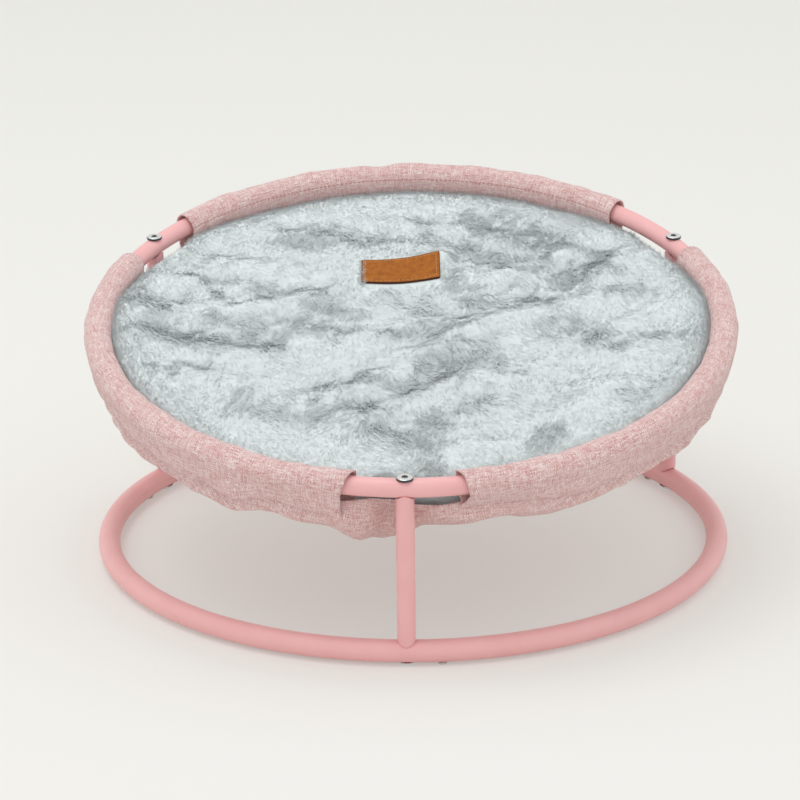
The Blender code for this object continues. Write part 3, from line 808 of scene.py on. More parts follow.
def seam_sag(angles):
    """How far the seam hangs below its even line, in metres, all round the rim."""
    degrees_round = (np.degrees(angles) + 270.0) % 360.0 - 270.0
    free = 1.3 * MM * waves(*on_circle(ring_radius, angles), 26 * MM, 5)
    at_front = ease(degrees_round, -154.0, -144.0) * ease(degrees_round, -32.0, -42.0)
    return from_table(degrees_round, seam_sags) * at_front + free * (1.0 - 0.8 * at_front)


# %% Section of a sleeve
sleeve_columns = 48
sleeve_step = 1.8 * MM
hem_width = 9.0 * MM
hem_rise = 0.7 * MM
sleeve_gaps = ((37.0 * MM, 38.0 * MM), (24.0 * MM, 64.0 * MM), (36.0 * MM, 34.0 * MM))


def sleeve_section():
    """Evenly spaced points (out, up) from the seam's outer side over the tube to its inner side."""
    over = np.radians(np.linspace(-15.0, 180.0, 86))
    round_top = np.stack(on_circle(sleeve_radius, over), axis=1)
    run = np.linspace(0.0, 1.0, 40)
    first = np.array((seam_outset, -seam_drop))
    outer = first + (round_top[0] - first) * np.stack((run ** 0.5, run), axis=1)
    last = np.array((seam_outset - seam_width, -seam_drop))
    inner = round_top[-1] + (last - round_top[-1]) * np.stack((run ** 4, run), axis=1)
    line = np.concatenate((outer, round_top[1:], inner[1:]))
    walked = lengths_along(line, 0)
    even = np.linspace(0.0, walked[-1], sleeve_columns)
    points = np.stack([np.interp(even, walked, line[:, k]) for k in range(2)], axis=1)
    return points, even


section, section_lengths = sleeve_section()
sleeve_width = section_lengths[-1]
section_shares = section_lengths / sleeve_width
slope = np.gradient(section, axis=0)
section_normals = unit(np.stack((slope[:, 1], -slope[:, 0]), axis=1))
print("a sleeve's cloth is", round(sleeve_width / MM, 1), "mm wide")

# %% Sleeves
# How far an end reaches beyond its straight cut, in mm, at shares of the way from the outer
# seam over the top to the inner seam
end_shares = (0.0, 0.10, 0.25, 0.42, 0.55, 0.75, 1.0)
front_end = (4.5, 1.0, -2.5, 0.0, 4.5, 3.5, 1.5)
folded_end = (-4.0, -3.5, -3.0, 0.0, 4.5, 3.5, 1.5)
plain_end = (2.0, 0.5, -0.8, 0.0, 1.5, 1.5, 1.0)


def make_sleeve(name, leg, seed, start_shape, end_shape):
    """A sleeve from one leg's gap to the next. The shapes say how its ends are cut."""
    following = (leg + 1) % 3
    first = leg_angles[leg] + sleeve_gaps[leg][1] / ring_radius
    last = leg_angles[leg] + 2 * half_arc - sleeve_gaps[following][0] / ring_radius
    length = (last - first) * ring_radius
    rows = int(length / sleeve_step)
    share = np.linspace(0.0, 1.0, rows)[:, None]
    start = first - np.interp(section_shares, end_shares, start_shape) * MM / ring_radius
    end = last + np.interp(section_shares, end_shares, end_shape) * MM / ring_radius
    angles = start + (end - start) * share
    walk = (angles - first) * ring_radius
    to_end = np.minimum(angles - start, end - angles) * ring_radius

    line_x, line_y = on_circle(ring_radius, angles)
    slow = waves(line_x, line_y, 60 * MM, seed)
    medium = waves(line_x + section_lengths * 0.5, line_y - section_lengths * 0.3, 22 * MM, seed + 1)
    quick = waves(line_x, line_y, 9.0 * MM, seed + 2)
    below = ease(-section[:, 1], 2.0 * MM, seam_drop)
    outer_side = ease(section_shares, 0.55, 0.45)
    puff = (1.5 + 0.5 * slow + 0.45 * medium) * MM * bump(section_shares, 0.47, 0.20)
    bulge = (0.5 + 0.5 * slow + 0.5 * medium) * MM * bump(section_shares, 0.14, 0.10)
    pucker = (0.15 + 0.35 * quick) * MM * bump(section_shares, 0.05, 0.07)
    hem = ease(to_end, hem_width + 0.8 * MM, hem_width - 0.8 * MM)
    stitch = bump(to_end, hem_width - 2.2 * MM, 0.9 * MM)
    lift = np.maximum(puff + bulge, 0.1 * MM) * (1.0 - 0.45 * hem) + pucker * outer_side
    lift = lift + hem_rise * hem - 0.4 * MM * stitch

    out = section[:, 0] + section_normals[:, 0] * lift
    up = section[:, 1] + section_normals[:, 1] * lift - seam_sag(angles) * below
    places = round_places(ring_radius + out, angles, up)
    map_start = stitched_map_start if name == "sleeve_back" else 0.0
    widths = np.broadcast_to(map_start + section_lengths, walk.shape)
    sleeve = sheet_of("linen_" + name, places, walk + leg * 0.5, widths)
    settle(sleeve, rim_frame)
    apply_modifier(sleeve, "SOLIDIFY", thickness=sleeve_cloth, offset=-1.0, use_even_offset=True)
    sleeve.data.shade_smooth()
    dress(sleeve, linen.material, "stand", "pink_linen", name)


make_sleeve("sleeve_right", 0, 11, front_end, plain_end)
make_sleeve("sleeve_back", 1, 23, plain_end, plain_end)
make_sleeve("sleeve_left", 2, 37, plain_end, folded_end)

# %% [markdown]
# ## Bowl
#
# The bowl is one round of linen gathered into the seam. It hangs in long soft folds, and at
# each leg its hem passes inside the leg. Two tables give what the photograph shows: how the
# belly hangs all round, and how the hem stands up beside the front leg. One deep fold falls
# from the hem to the left of that leg. The map is that of the flat round cloth.

# %% Shape of the bowl
bowl_cloth = 1.0 * MM
bowl_tuck = 1.6 * MM
bowl_wall = 2.0 * MM
bowl_depth = 45.0 * MM
bowl_roundness = 2.8
bowl_rim_radius = ring_radius + seam_outset - seam_width + fit_gap
bowl_leg_dip = 11.0 * MM
bowl_leg_dip_reach = radians(12.5)
bowl_fold_depth = 3.0 * MM
bowl_fold_count = 9
deep_fold = 6.0 * MM
bowl_gap_sag = 4.0 * MM
bowl_gap_sag_reach = radians(30.0)

# How far the hem stands above its even line at the front leg, as (degrees from the leg, mm)
hem_rises = ((-19, 0.0), (-15, 5.0), (-11, 8.5), (-6, 8.0), (-3, 5.0), (2, -0.5), (6, -1.5), (11, 0.5),
             (15, 1.5), (18, 0.0))

# How far the bowl's belly hangs above its even shape, as (degrees from the front leg, mm)
belly_lifts = (
    (-180, 0.0), (-120, 8.0), (-90, 15.0), (-75, 14.0), (-62, 8.0), (-48, 7.0), (-38, 4.5), (-32, 4.0),
    (-27, 11.5), (-20, 11.0), (-14, 9.0), (-9, -3.0), (-5, -7.5), (0, -3.0), (3, 4.0), (8, 7.5), (14, 15.5),
    (18, 14.0), (22, 7.0), (26, 5.5), (31, 9.5), (37, 13.0), (46, 12.0), (61, 11.5), (80, 20.0), (95, 20.0),
    (120, 10.0), (180, 0.0))


def nearness(angles, reach):
    """One at a leg, falling smoothly to zero at the given angle from it."""
    away = np.min([np.abs((angles - leg + pi) % (2.0 * pi) - pi) for leg in leg_angles], axis=0)
    return np.where(away < reach, np.cos(np.minimum(away / reach, 1.0) * pi / 2) ** 2, 0.0)


def from_front(angles):
    """Degrees round from the front leg, from -180 to 180."""
    return np.degrees((angles - leg_angles[0] + pi) % (2.0 * pi) - pi)


def bowl_places(share, angles, outward=0.0):
    """Reach and height of the bowl's inner face, from its rim (share 0) to its middle (share 1)."""
    turn = share * pi / 2
    power = 2.0 / bowl_roundness
    rim_radius = bowl_rim_radius - bowl_leg_dip * nearness(angles, bowl_leg_dip_reach)
    reach = (rim_radius + outward) * np.maximum(np.cos(turn), 0.0) ** power
    drop = (bowl_depth + outward) * np.sin(turn) ** power
    fold = bowl_fold_depth * (0.5 - 0.5 * np.cos(bowl_fold_count * (angles - leg_angles[0])))
    fold = fold + bowl_gap_sag * nearness(angles, bowl_gap_sag_reach)
    drop = drop + fold * np.sin(2.0 * turn) ** 2
    lift = from_table(from_front(angles), belly_lifts)
    drop = drop - lift * ease(share, 0.03, 0.30) * (1.0 - ease(share, 0.5, 0.95))
    # Degrees from the deep fold, which starts left of the leg and runs further left as it falls
    off_fold = from_front(angles) + 3.2 + 13.0 * share
    steep_or_soft = np.where(off_fold < 0.0, 1.2, 4.5)
    deep = deep_fold * (bump(off_fold, 0.0, steep_or_soft) - 0.3 * bump(off_fold, -4.5, 2.4))
    reach = reach - deep * ease(share, 0.0, 0.04) * (1.0 - ease(share, 0.30, 0.55))
    return reach, -(seam_drop + fit_gap + drop)


# %% Bowl
bowl_columns = 380
bowl_rows = 44
bowl_hole = 15 * MM  # reach of the flat round that closes the middle
flat_middle = 0.3    # where the cloth's middle lies in its map

angles = (leg_angles[0] + 2.0 * pi * np.arange(bowl_columns) / bowl_columns)[None, :]
share = (np.linspace(0.0, 1.0, bowl_rows) ** 1.4 * 0.985)[:, None]
reach, height = bowl_places(share, angles, bowl_wall)
circle = on_circle(ring_radius, angles)
gathers = waves(*circle, 15 * MM, 51) * 0.8 * MM
long_folds = waves(*circle, 46 * MM, 52) * 1.5 * MM
side = np.sin(np.minimum(share * 2.6, 1.0) * pi)
swell = gathers * np.exp(-share * 9.0) + long_folds * side
creases = waves(*on_circle(reach, angles), 38 * MM, 53) * 0.7 * MM * ease(share, 0.1, 0.4)
under_sleeve = 1.0 - nearness(angles, bowl_leg_dip_reach)
tucked = np.exp(-(share / 0.022) ** 2)
reach = reach + np.clip(swell, -1.0 * MM, 4.0 * MM) * (1.0 - ease(share, 0.25, 0.6)) * ease(share, 0.0, 0.03)
reach = reach - 0.4 * MM * tucked * under_sleeve + 1.2 * MM * bump(share, 0.07, 0.04) * under_sleeve
height = height - np.clip(creases + swell * 0.5, -0.4 * MM, 2.5 * MM) * ease(share, 0.05, 0.2)
height = height + bowl_tuck * tucked * under_sleeve - seam_sag(angles) * ease(share, 0.30, 0.0)
height = height + from_table(from_front(angles), hem_rises) * ease(share, 0.16, 0.0)
places = round_places(reach, angles, height)

down_bowl = lengths_along(np.concatenate((places, places[:, :1]), axis=1), 0)
flat_reach = down_bowl[-1].mean() + bowl_hole - down_bowl
closed_angles = np.concatenate((angles, angles[:, :1]), axis=1)
flat_x, flat_y = (flat_middle + place for place in on_circle(flat_reach, closed_angles))
bowl = sheet_of("linen_bowl", places, flat_x, flat_y, wrap=True)
settle(bowl, rim_frame)
edit(bowl, "EDGE")
pick(bowl, "EDGE", lambda edge: edge.is_boundary
     and (middle_of(edge) - rim_frame.translation).length < ring_radius / 2)
bpy.ops.mesh.fill()
deselect()
weave_map = bowl.data.uv_layers["weave"].data
for face in list(bowl.data.polygons)[(bowl_rows - 1) * bowl_columns:]:
    for corner in face.loop_indices:
        column = bowl.data.loops[corner].vertex_index % bowl_columns
        weave_map[corner].uv = (flat_x[-1, column], flat_y[-1, column])
apply_modifier(bowl, "SOLIDIFY", thickness=bowl_cloth, offset=-1.0, use_even_offset=False)
bowl.data.shade_smooth()
dress(bowl, linen.material, "stand", "pink_linen", "hammock_bowl")

# %% [markdown]
# ## Plush cushion
#
# The cushion is a crowned round pad in grey plush. Its cover is a little too large, so soft
# folds run over the top. Each is a row of soft bumps along a line, with a furrow behind it, and
# folds that meet run into each other without a crease.
#
# The pad is made first, a few millimetres inside the CAD cushion. The pile then lies on it:
# many thousand hairs, each a thin closed spike, built in one go as one mesh.

# %% Sizes of the pad
pad_gap = 1.0 * MM
cushion_radius = ring_radius - sleeve_radius - pad_gap
pile_depth = 2.6 * MM
pile_side = 1.8 * MM
edge_drop = 12.0 * MM
crown_rise = 4.0 * MM
roundness = 4.0
side_share = acos(((cushion_radius + fit_gap) / bowl_rim_radius) ** (bowl_roundness / 2)) / (pi / 2)
skin_fit = cushion_radius / (cushion_radius - pile_side)

# %% [markdown]
# ## Leather patch's place
#
# The patch is sewn on behind the middle, almost square to the front. Its place is settled
# before the pad is shaped, because the pad lies close under it and no hair may stand through
# it. It is a little twisted and sags in its middle: its right end lies higher than its left.

# %% Place of the leather patch
patch_length = 56.0 * MM
patch_width = 34.0 * MM
patch_thickness = 1.4 * MM
patch_turn = radians(1.7)
patch_centre = (-0.04 * cushion_radius, 0.315 * cushion_radius)
patch_front = (2.8 * MM, 5.7 * MM)  # heights of the front edge's ends, left and right
patch_back = (1.8 * MM, 8.5 * MM)
patch_sag = 2.4 * MM


def on_patch(across, back):
    """Coordinates of a place along and up the patch, from its middle."""
    right, up = across - patch_centre[0], back - patch_centre[1]
    return (right * cos(patch_turn) + up * sin(patch_turn),
            up * cos(patch_turn) - right * sin(patch_turn))


def outside_patch(across, back):
    """Distance outside the patch's edge, negative on the patch."""
    along, up = on_patch(across, back)
    beyond_x, beyond_y = np.abs(along) - patch_length / 2, np.abs(up) - patch_width / 2
    outside = np.hypot(np.maximum(beyond_x, 0.0), np.maximum(beyond_y, 0.0))
    return outside + np.minimum(np.maximum(beyond_x, beyond_y), 0.0)


def patch_bed(across, back):
    """Height of the patch's underside over the rim's plane, a slightly twisted and sagging sheet."""
    along, up = on_patch(across, back)
    right, top = (np.clip(place + 0.5, -0.3, 1.3) for place in (along / patch_length, up / patch_width))
    front, behind = (left * (1.0 - right) + far * right for left, far in (patch_front, patch_back))
    return front * (1.0 - top) + behind * top - patch_sag * np.sin(np.clip(right, 0.0, 1.0) * pi)


# %% Folds over the cushion
# Folds as lines over the top, (right, back, right, back, ...) in hundredths of the cushion's radius,
# each with the share of the full height that it has
folds = (
    ((-89, 29, -77, 25, -66, 8), 0.8), ((-94, 5, -76, 3, -52, 5, -36, 10, -20, 19), 1.0),
    ((-94, -11, -80, -21, -64, -23, -48, -27), 0.8), ((-95, -25, -81, -34, -60, -44, -47, -46), 0.8),
    ((-43, -56, -27, -55, -14, -47, -1, -35), 0.9), ((-79, 41, -58, 33, -45, 42), 0.7),
    ((-24, -66, -10, -63, 4, -57), 0.8), ((-3, -35, 20, -11, 30, -2, 51, 6, 75, 15), 1.1),
    ((48, 29, 52, 44, 58, 66), 0.8), ((50, 15, 58, 18, 73, 39, 84, 49), 1.0),
    ((12, 31, 31, 30, 41, 27, 48, 15), 0.9), ((-3, -5, 13, -5, 26, -3), 0.6), ((40, -77, 53, -60, 70, -44), 0.9),
    ((71, -6, 82, 3, 92, 5), 0.7), ((76, -24, 84, -15, 94, -12), 0.7), ((-2, -59, 24, -39, 34, -39), 0.8),
    ((8, -92, 17, -88, 43, -80), 0.7),
)
fold_height = 5.0 * MM
fold_width = 17.0 * MM
furrow_depth = 2.6 * MM
furrow_away = 20.0 * MM
furrow_width = 12.0 * MM
fold_step = 7.0 * MM
merge_power = 3.0


def beside_line(across, back, ends):
    """Distance to the line between two points."""
    run = ends[1] - ends[0]
    away = np.stack((across, back), axis=-1) - ends[0]
    share = np.clip((away @ run) / (run @ run), 0.0, 1.0)
    return np.linalg.norm(away - share[..., None] * run, axis=-1)


def ridge_over(across, back, middles, width):
    """A soft ridge over a row of evenly spaced points, one high along its middle."""
    total = np.zeros(across.shape)
    for right, behind in middles:
        total += np.exp(-((across - right) ** 2 + (back - behind) ** 2) / width ** 2)
    return total * fold_step / (width * pi ** 0.5)


def fold_relief(across, back):
    """Height of the folds and of the furrows behind them."""
    crest, furrow = np.zeros(across.shape), np.zeros(across.shape)
    for line, strength in folds:
        corners = np.reshape(line, (-1, 2)) / 100 * cushion_radius
        walked = lengths_along(corners, 0)
        even = np.linspace(0.0, walked[-1], max(int(walked[-1] / fold_step), 3) + 1)
        middles = np.stack([np.interp(even, walked, corners[:, k]) for k in (0, 1)], axis=1)
        for _ in range(3):
            middles[1:-1] = (middles[:-2] + 2.0 * middles[1:-1] + middles[2:]) / 4.0
        run = unit(np.gradient(middles, axis=0))
        behind = middles + furrow_away * np.stack((-run[:, 1], run[:, 0]), axis=1)
        crest += (strength * ridge_over(across, back, middles, fold_width)) ** merge_power
        furrow += strength * ridge_over(across, back, behind, furrow_width)
    crest = crest ** (1.0 / merge_power)
    return crest * fold_height - np.tanh(furrow) * furrow_depth * (1.0 - 0.5 * crest)


# Where the pad swells up, as (right, back) and reach in shares of its radius, with a height
swellings = (
    ((-0.80, 0.40), 0.28, 2.5 * MM), ((0.84, 0.44), 0.25, 3.5 * MM), ((0.95, 0.12), 0.20, 3.5 * MM),
    ((-0.96, -0.05), 0.20, 3.5 * MM), ((0.95, -0.25), 0.20, 3.0 * MM), ((-0.90, -0.40), 0.20, 2.0 * MM))
side_swell = 9.0 * MM


def top_height(across, back):
    """Height of the pad's skin over the rim's plane."""
    out = np.minimum(np.hypot(across, back) / cushion_radius, 1.0)
    dome = (edge_drop + crown_rise) * (1.0 - out ** roundness) ** (1.0 / roundness) - edge_drop
    rumple = 0.8 * MM * waves(across, back, 42 * MM, 71) + 0.3 * MM * waves(across, back, 17 * MM, 72)
    free = dome - pile_depth + (fold_relief(across, back) + rumple) * (1.0 - out ** 8)
    for (right, behind), reach, height in swellings:
        away = np.hypot(across / cushion_radius - right, back / cushion_radius - behind)
        free = free + height * bump(away, 0.0, reach)
    sideways = ease(np.abs(across) / cushion_radius, 0.45, 0.80)
    at_sides = sideways * (1.0 - 0.6 * ease(back / cushion_radius, 0.08, 0.35))
    free = free + side_swell * bump(out, 0.97, 0.08) * at_sides
    held = patch_bed(across, back) - 0.4 * MM
    near = ease(outside_patch(across, back), 16.0 * MM, 1.0 * MM)
    return free + (held - free) * near


# %% Pad
pad_columns = 260
pad_top_rows = 96
pad_under_rows = 14
pad_front_belly = 10.5 * MM
pad_belly_low = -24.0 * MM


def pad_points():
    """Rings of points from the middle of the top over the side to the middle of the underside."""
    angles = (2.0 * pi * np.arange(pad_columns) / pad_columns)[None, :]
    outward = 1.0 - (1.0 - np.linspace(0.02, 1.0, pad_top_rows)[:, None]) ** 1.35
    reach = (bowl_places(side_share, angles)[0] - fit_gap - pile_side) * outward
    top_z = top_height(*(place * skin_fit for place in on_circle(reach, angles)))
    at_front = nearness(angles, bowl_leg_dip_reach) * (np.abs(from_front(angles)) < 20.0)
    belly_share = np.array((0.25, 0.5, 0.75))[:, None]
    belly_reach = reach[-1:] + pad_front_belly * at_front * np.sin(belly_share * pi)
    belly_z = top_z[-1:] + (pad_belly_low - top_z[-1:]) * belly_share
    under_share = np.linspace(side_share, 0.97, pad_under_rows)[:, None]
    under_reach, under_z = bowl_places(under_share, angles)
    return np.concatenate((round_places(reach, angles, top_z), round_places(belly_reach, angles, belly_z),
                           round_places(np.minimum(under_reach, reach[-1:]), angles, under_z + fit_gap)))


def closed_skin(places):
    """Vertices and triangles of a skin over rings, closed at both ends by a middle point."""
    rings, columns = places.shape[:2]
    quads = grid_faces(rings, columns, wrap=True)
    ends = places[[0, -1]].mean(axis=1)
    vertices = np.concatenate((places.reshape(-1, 3), ends))
    ring = np.arange(columns)
    after = (ring + 1) % columns
    first = np.stack((np.full(columns, rings * columns), after, ring), axis=1)
    base = (rings - 1) * columns
    last = np.stack((np.full(columns, rings * columns + 1), base + ring, base + after), axis=1)
    triangles = np.concatenate((quads[:, [0, 1, 2]], quads[:, [0, 2, 3]], first, last))
    return vertices, triangles[:, ::-1]


pad_vertices, pad_triangles = closed_skin(pad_points())
pad_corners = pad_vertices[pad_triangles]
face_turns = np.cross(pad_corners[:, 1] - pad_corners[:, 0], pad_corners[:, 2] - pad_corners[:, 0])
pad_volume = (pad_corners[:, 0] * face_turns).sum() / 6
pad_normals = np.zeros_like(pad_vertices)
for k in range(3):
    np.add.at(pad_normals, pad_triangles[:, k], face_turns)
pad_normals = unit(pad_normals)
print("pad:", len(pad_triangles), "triangles, volume", round(float(pad_volume) * 1e3, 2), "litres")

# %% [markdown]
# ## Pile
#
# The hairs are spread evenly over the pad's skin. They lie over towards the front, in
# directions that drift. Most are short, pale and nearly flat. Where the pile opens, longer
# bent hairs stand between them, some frosted at the tip and some painted dark, in narrow
# clumps; that dark colour is partly the plush's own darker dye and partly painted shade
# inside the open pile. Each hair's map runs from root to tip in one direction, darker towards
# the root as painted shade among the hairs, and through the tones of the dye and that painted
# shade in the other, so one small ramp colours them all.

# %% Spread hairs over the skin
tuft_size = 4.5 * MM
patch_margin = 0.5 * MM

skin_line = np.linspace(-1.03, 1.03, 501) * cushion_radius
skin_heights = top_height(*np.meshgrid(skin_line, skin_line, indexing="ij"))


def skin_height(across, back):
    """Height of the pad's skin at many places, read off an even grid of heights."""
    steps = [(np.clip(values, skin_line[0], skin_line[-2]) - skin_line[0]) / (skin_line[1] - skin_line[0])
             for values in (across, back)]
    (i, j), (u, v) = [step.astype(int) for step in steps], [step % 1.0 for step in steps]
    return (skin_heights[i, j] * (1 - u) * (1 - v) + skin_heights[i + 1, j] * u * (1 - v)
            + skin_heights[i, j + 1] * (1 - u) * v + skin_heights[i + 1, j + 1] * u * v)


def spread_roots(count, seed):
    """Random places on the pad's top and side, with the skin's normals there."""
    chance = np.random.default_rng(seed)
    turn_up = pad_normals[pad_triangles].mean(axis=1)[:, 2]
    on_side = pad_corners.mean(axis=1)[:, 2] > -38 * MM
    weight = np.linalg.norm(face_turns, axis=1) * np.where(turn_up > 0.1, 1.0, np.where(on_side, 0.9, 0.0))
    steps = np.cumsum(weight)
    chosen = np.searchsorted(steps, chance.uniform(0.0, steps[-1], count))
    first, second = chance.uniform(0.0, 1.0, (2, count))
    over = first + second > 1.0
    first, second = np.where(over, 1.0 - first, first), np.where(over, 1.0 - second, second)
    shares = np.stack((1.0 - first - second, first, second), axis=1)[..., None]
    roots = (pad_vertices[pad_triangles[chosen]] * shares).sum(axis=1)
    normals = unit((pad_normals[pad_triangles[chosen]] * shares).sum(axis=1))
    keep = (outside_patch(roots[:, 0], roots[:, 1]) > patch_margin) | (normals[:, 2] < 0.3)
    return roots[keep], normals[keep], chance


def scatter(first, second, turns=(12.9898, 78.233), size=43758.5453):
    """A random number from 0 to 1 for each pair of whole numbers."""
    value = np.sin(first * turns[0] + second * turns[1]) * size
    return value - np.floor(value)


def tuft_pull(across, back):
    """Vector from each root to the middle of its tuft."""
    places = [place + 0.9 * tuft_size * waves(across, back, 16 * MM, seed)
              for place, seed in ((across, 91), (back, 92))]
    cells = [np.floor(place / tuft_size) for place in places]
    jitters = (scatter(*cells, (127.1, 311.7)), scatter(*cells, (269.5, 183.3), 24634.6345))
    pulls = [(cell + 0.5 + 0.6 * (jitter - 0.5)) * tuft_size - place
             for place, cell, jitter in zip(places, cells, jitters)]
    return np.stack((*pulls, np.zeros(len(across))), axis=1)


# Places where the pile lies open: both ends (right, back) and the half width, in thousandths of the
# cushion's radius, and how open
open_places = (
    (-400, 590, -240, 580, 60, 0.8), (-220, 560, -50, 540, 55, 0.6), (20, 720, 40, 600, 25, 0.5),
    (50, 560, 120, 520, 35, 0.4), (240, 700, 420, 560, 80, 0.75), (420, 620, 490, 500, 55, 0.9),
    (160, 500, 340, 400, 70, 0.65), (470, 460, 460, 320, 20, 0.6), (530, 240, 660, 410, 55, 0.95),
    (660, 150, 780, 190, 30, 0.6), (200, 120, 450, 100, 50, 0.6), (120, 280, 170, 200, 45, 0.55),
    (200, 215, 400, 215, 20, 0.55), (-80, 200, -20, 70, 28, 0.55), (40, 100, 100, 40, 50, 0.5),
    (-330, 100, -230, 50, 55, 0.65), (-420, -30, -220, -70, 45, 0.65), (-600, -50, -460, -150, 60, 0.8),
    (-840, -90, -630, -150, 60, 0.95), (-920, 120, -850, 50, 45, 0.75), (-790, 140, -740, 100, 30, 0.45),
    (-720, 260, -610, 100, 25, 0.55), (-550, 220, -420, 170, 40, 0.6), (-800, 280, -630, 270, 25, 0.5),
    (-780, 410, -660, 380, 35, 0.4), (-60, -90, 180, -60, 38, 0.7), (70, -360, 190, -220, 62, 0.95),
    (-40, -460, 100, -400, 50, 0.75), (-270, -440, -120, -410, 45, 0.6), (230, -190, 320, -330, 40, 0.5),
    (500, -60, 680, -120, 60, 0.7), (770, -110, 880, -130, 35, 0.5), (-550, -530, -410, -600, 50, 0.6),
    (-260, -600, -120, -570, 50, 0.75), (-110, -700, 50, -740, 70, 0.85), (70, -660, 170, -600, 45, 0.7),
    (180, -580, 280, -500, 45, 0.6), (410, -780, 490, -660, 28, 0.85), (40, -910, 120, -930, 35, 0.7),
    (-800, -330, -700, -330, 35, 0.5), (700, -500, 800, -450, 35, 0.4), (510, -440, 560, -380, 30, 0.3),
)
open_strength = 0.58
open_spread = 1.35


def open_pile(across, back):
    """How far the pile opens at a place, from 0, closed and pale, to 1, open and dark, where the dark is partly
    the plush's own dye and partly painted shade.
    """
    shift = 3.0 * MM * waves(across, back, 26 * MM, 83)
    opened = np.zeros(across.shape)
    for *ends, half_width, strength in open_places:
        away = beside_line(across + shift, back - shift, np.reshape(ends, (2, 2)) / 1000 * cushion_radius)
        reach = open_spread * half_width / 1000 * cushion_radius
        opened = np.maximum(opened, open_strength * strength * bump(away, 0.0, reach))
    clouds = waves(across, back, 24 * MM, 81) + 0.6 * waves(across, back, 10 * MM, 82)
    return np.clip(opened * (0.80 + 0.25 * clouds) + 0.05 + 0.04 * clouds, 0.0, 1.0)


# %% Clumps of hairs
clump_width = 1.4 * MM
clump_length = 4.5 * MM
clump_turn = radians(-74.0)


def clumps(across, back):
    """A random number from 0 to 1 for each clump of hairs. Clumps are narrow and lie along the pile."""
    along = across * cos(clump_turn) + back * sin(clump_turn)
    beside = back * cos(clump_turn) - across * sin(clump_turn) + 1.2 * MM * waves(across, back, 14 * MM, 95)
    row = np.floor(beside / clump_width)
    return scatter(row, np.floor(along / clump_length + scatter(row, row * 0.5)))


# %% Grow the hairs
pile_heading = radians(-78.0)   # which way the hairs lie, counted from the right
over_edge_heading = radians(-20.0)
most_lean = radians(86.0)       # how far a hair may lie over, counted from upright
lift_in_open = radians(22.0)    # and how much it stands up at certain places
lift_at_edge = radians(16.0)
lift_beside_leg = radians(40.0)
side_room = 0.8 * MM            # how far hairs may stand out of the pad's side
tone_of_closed = 0.10


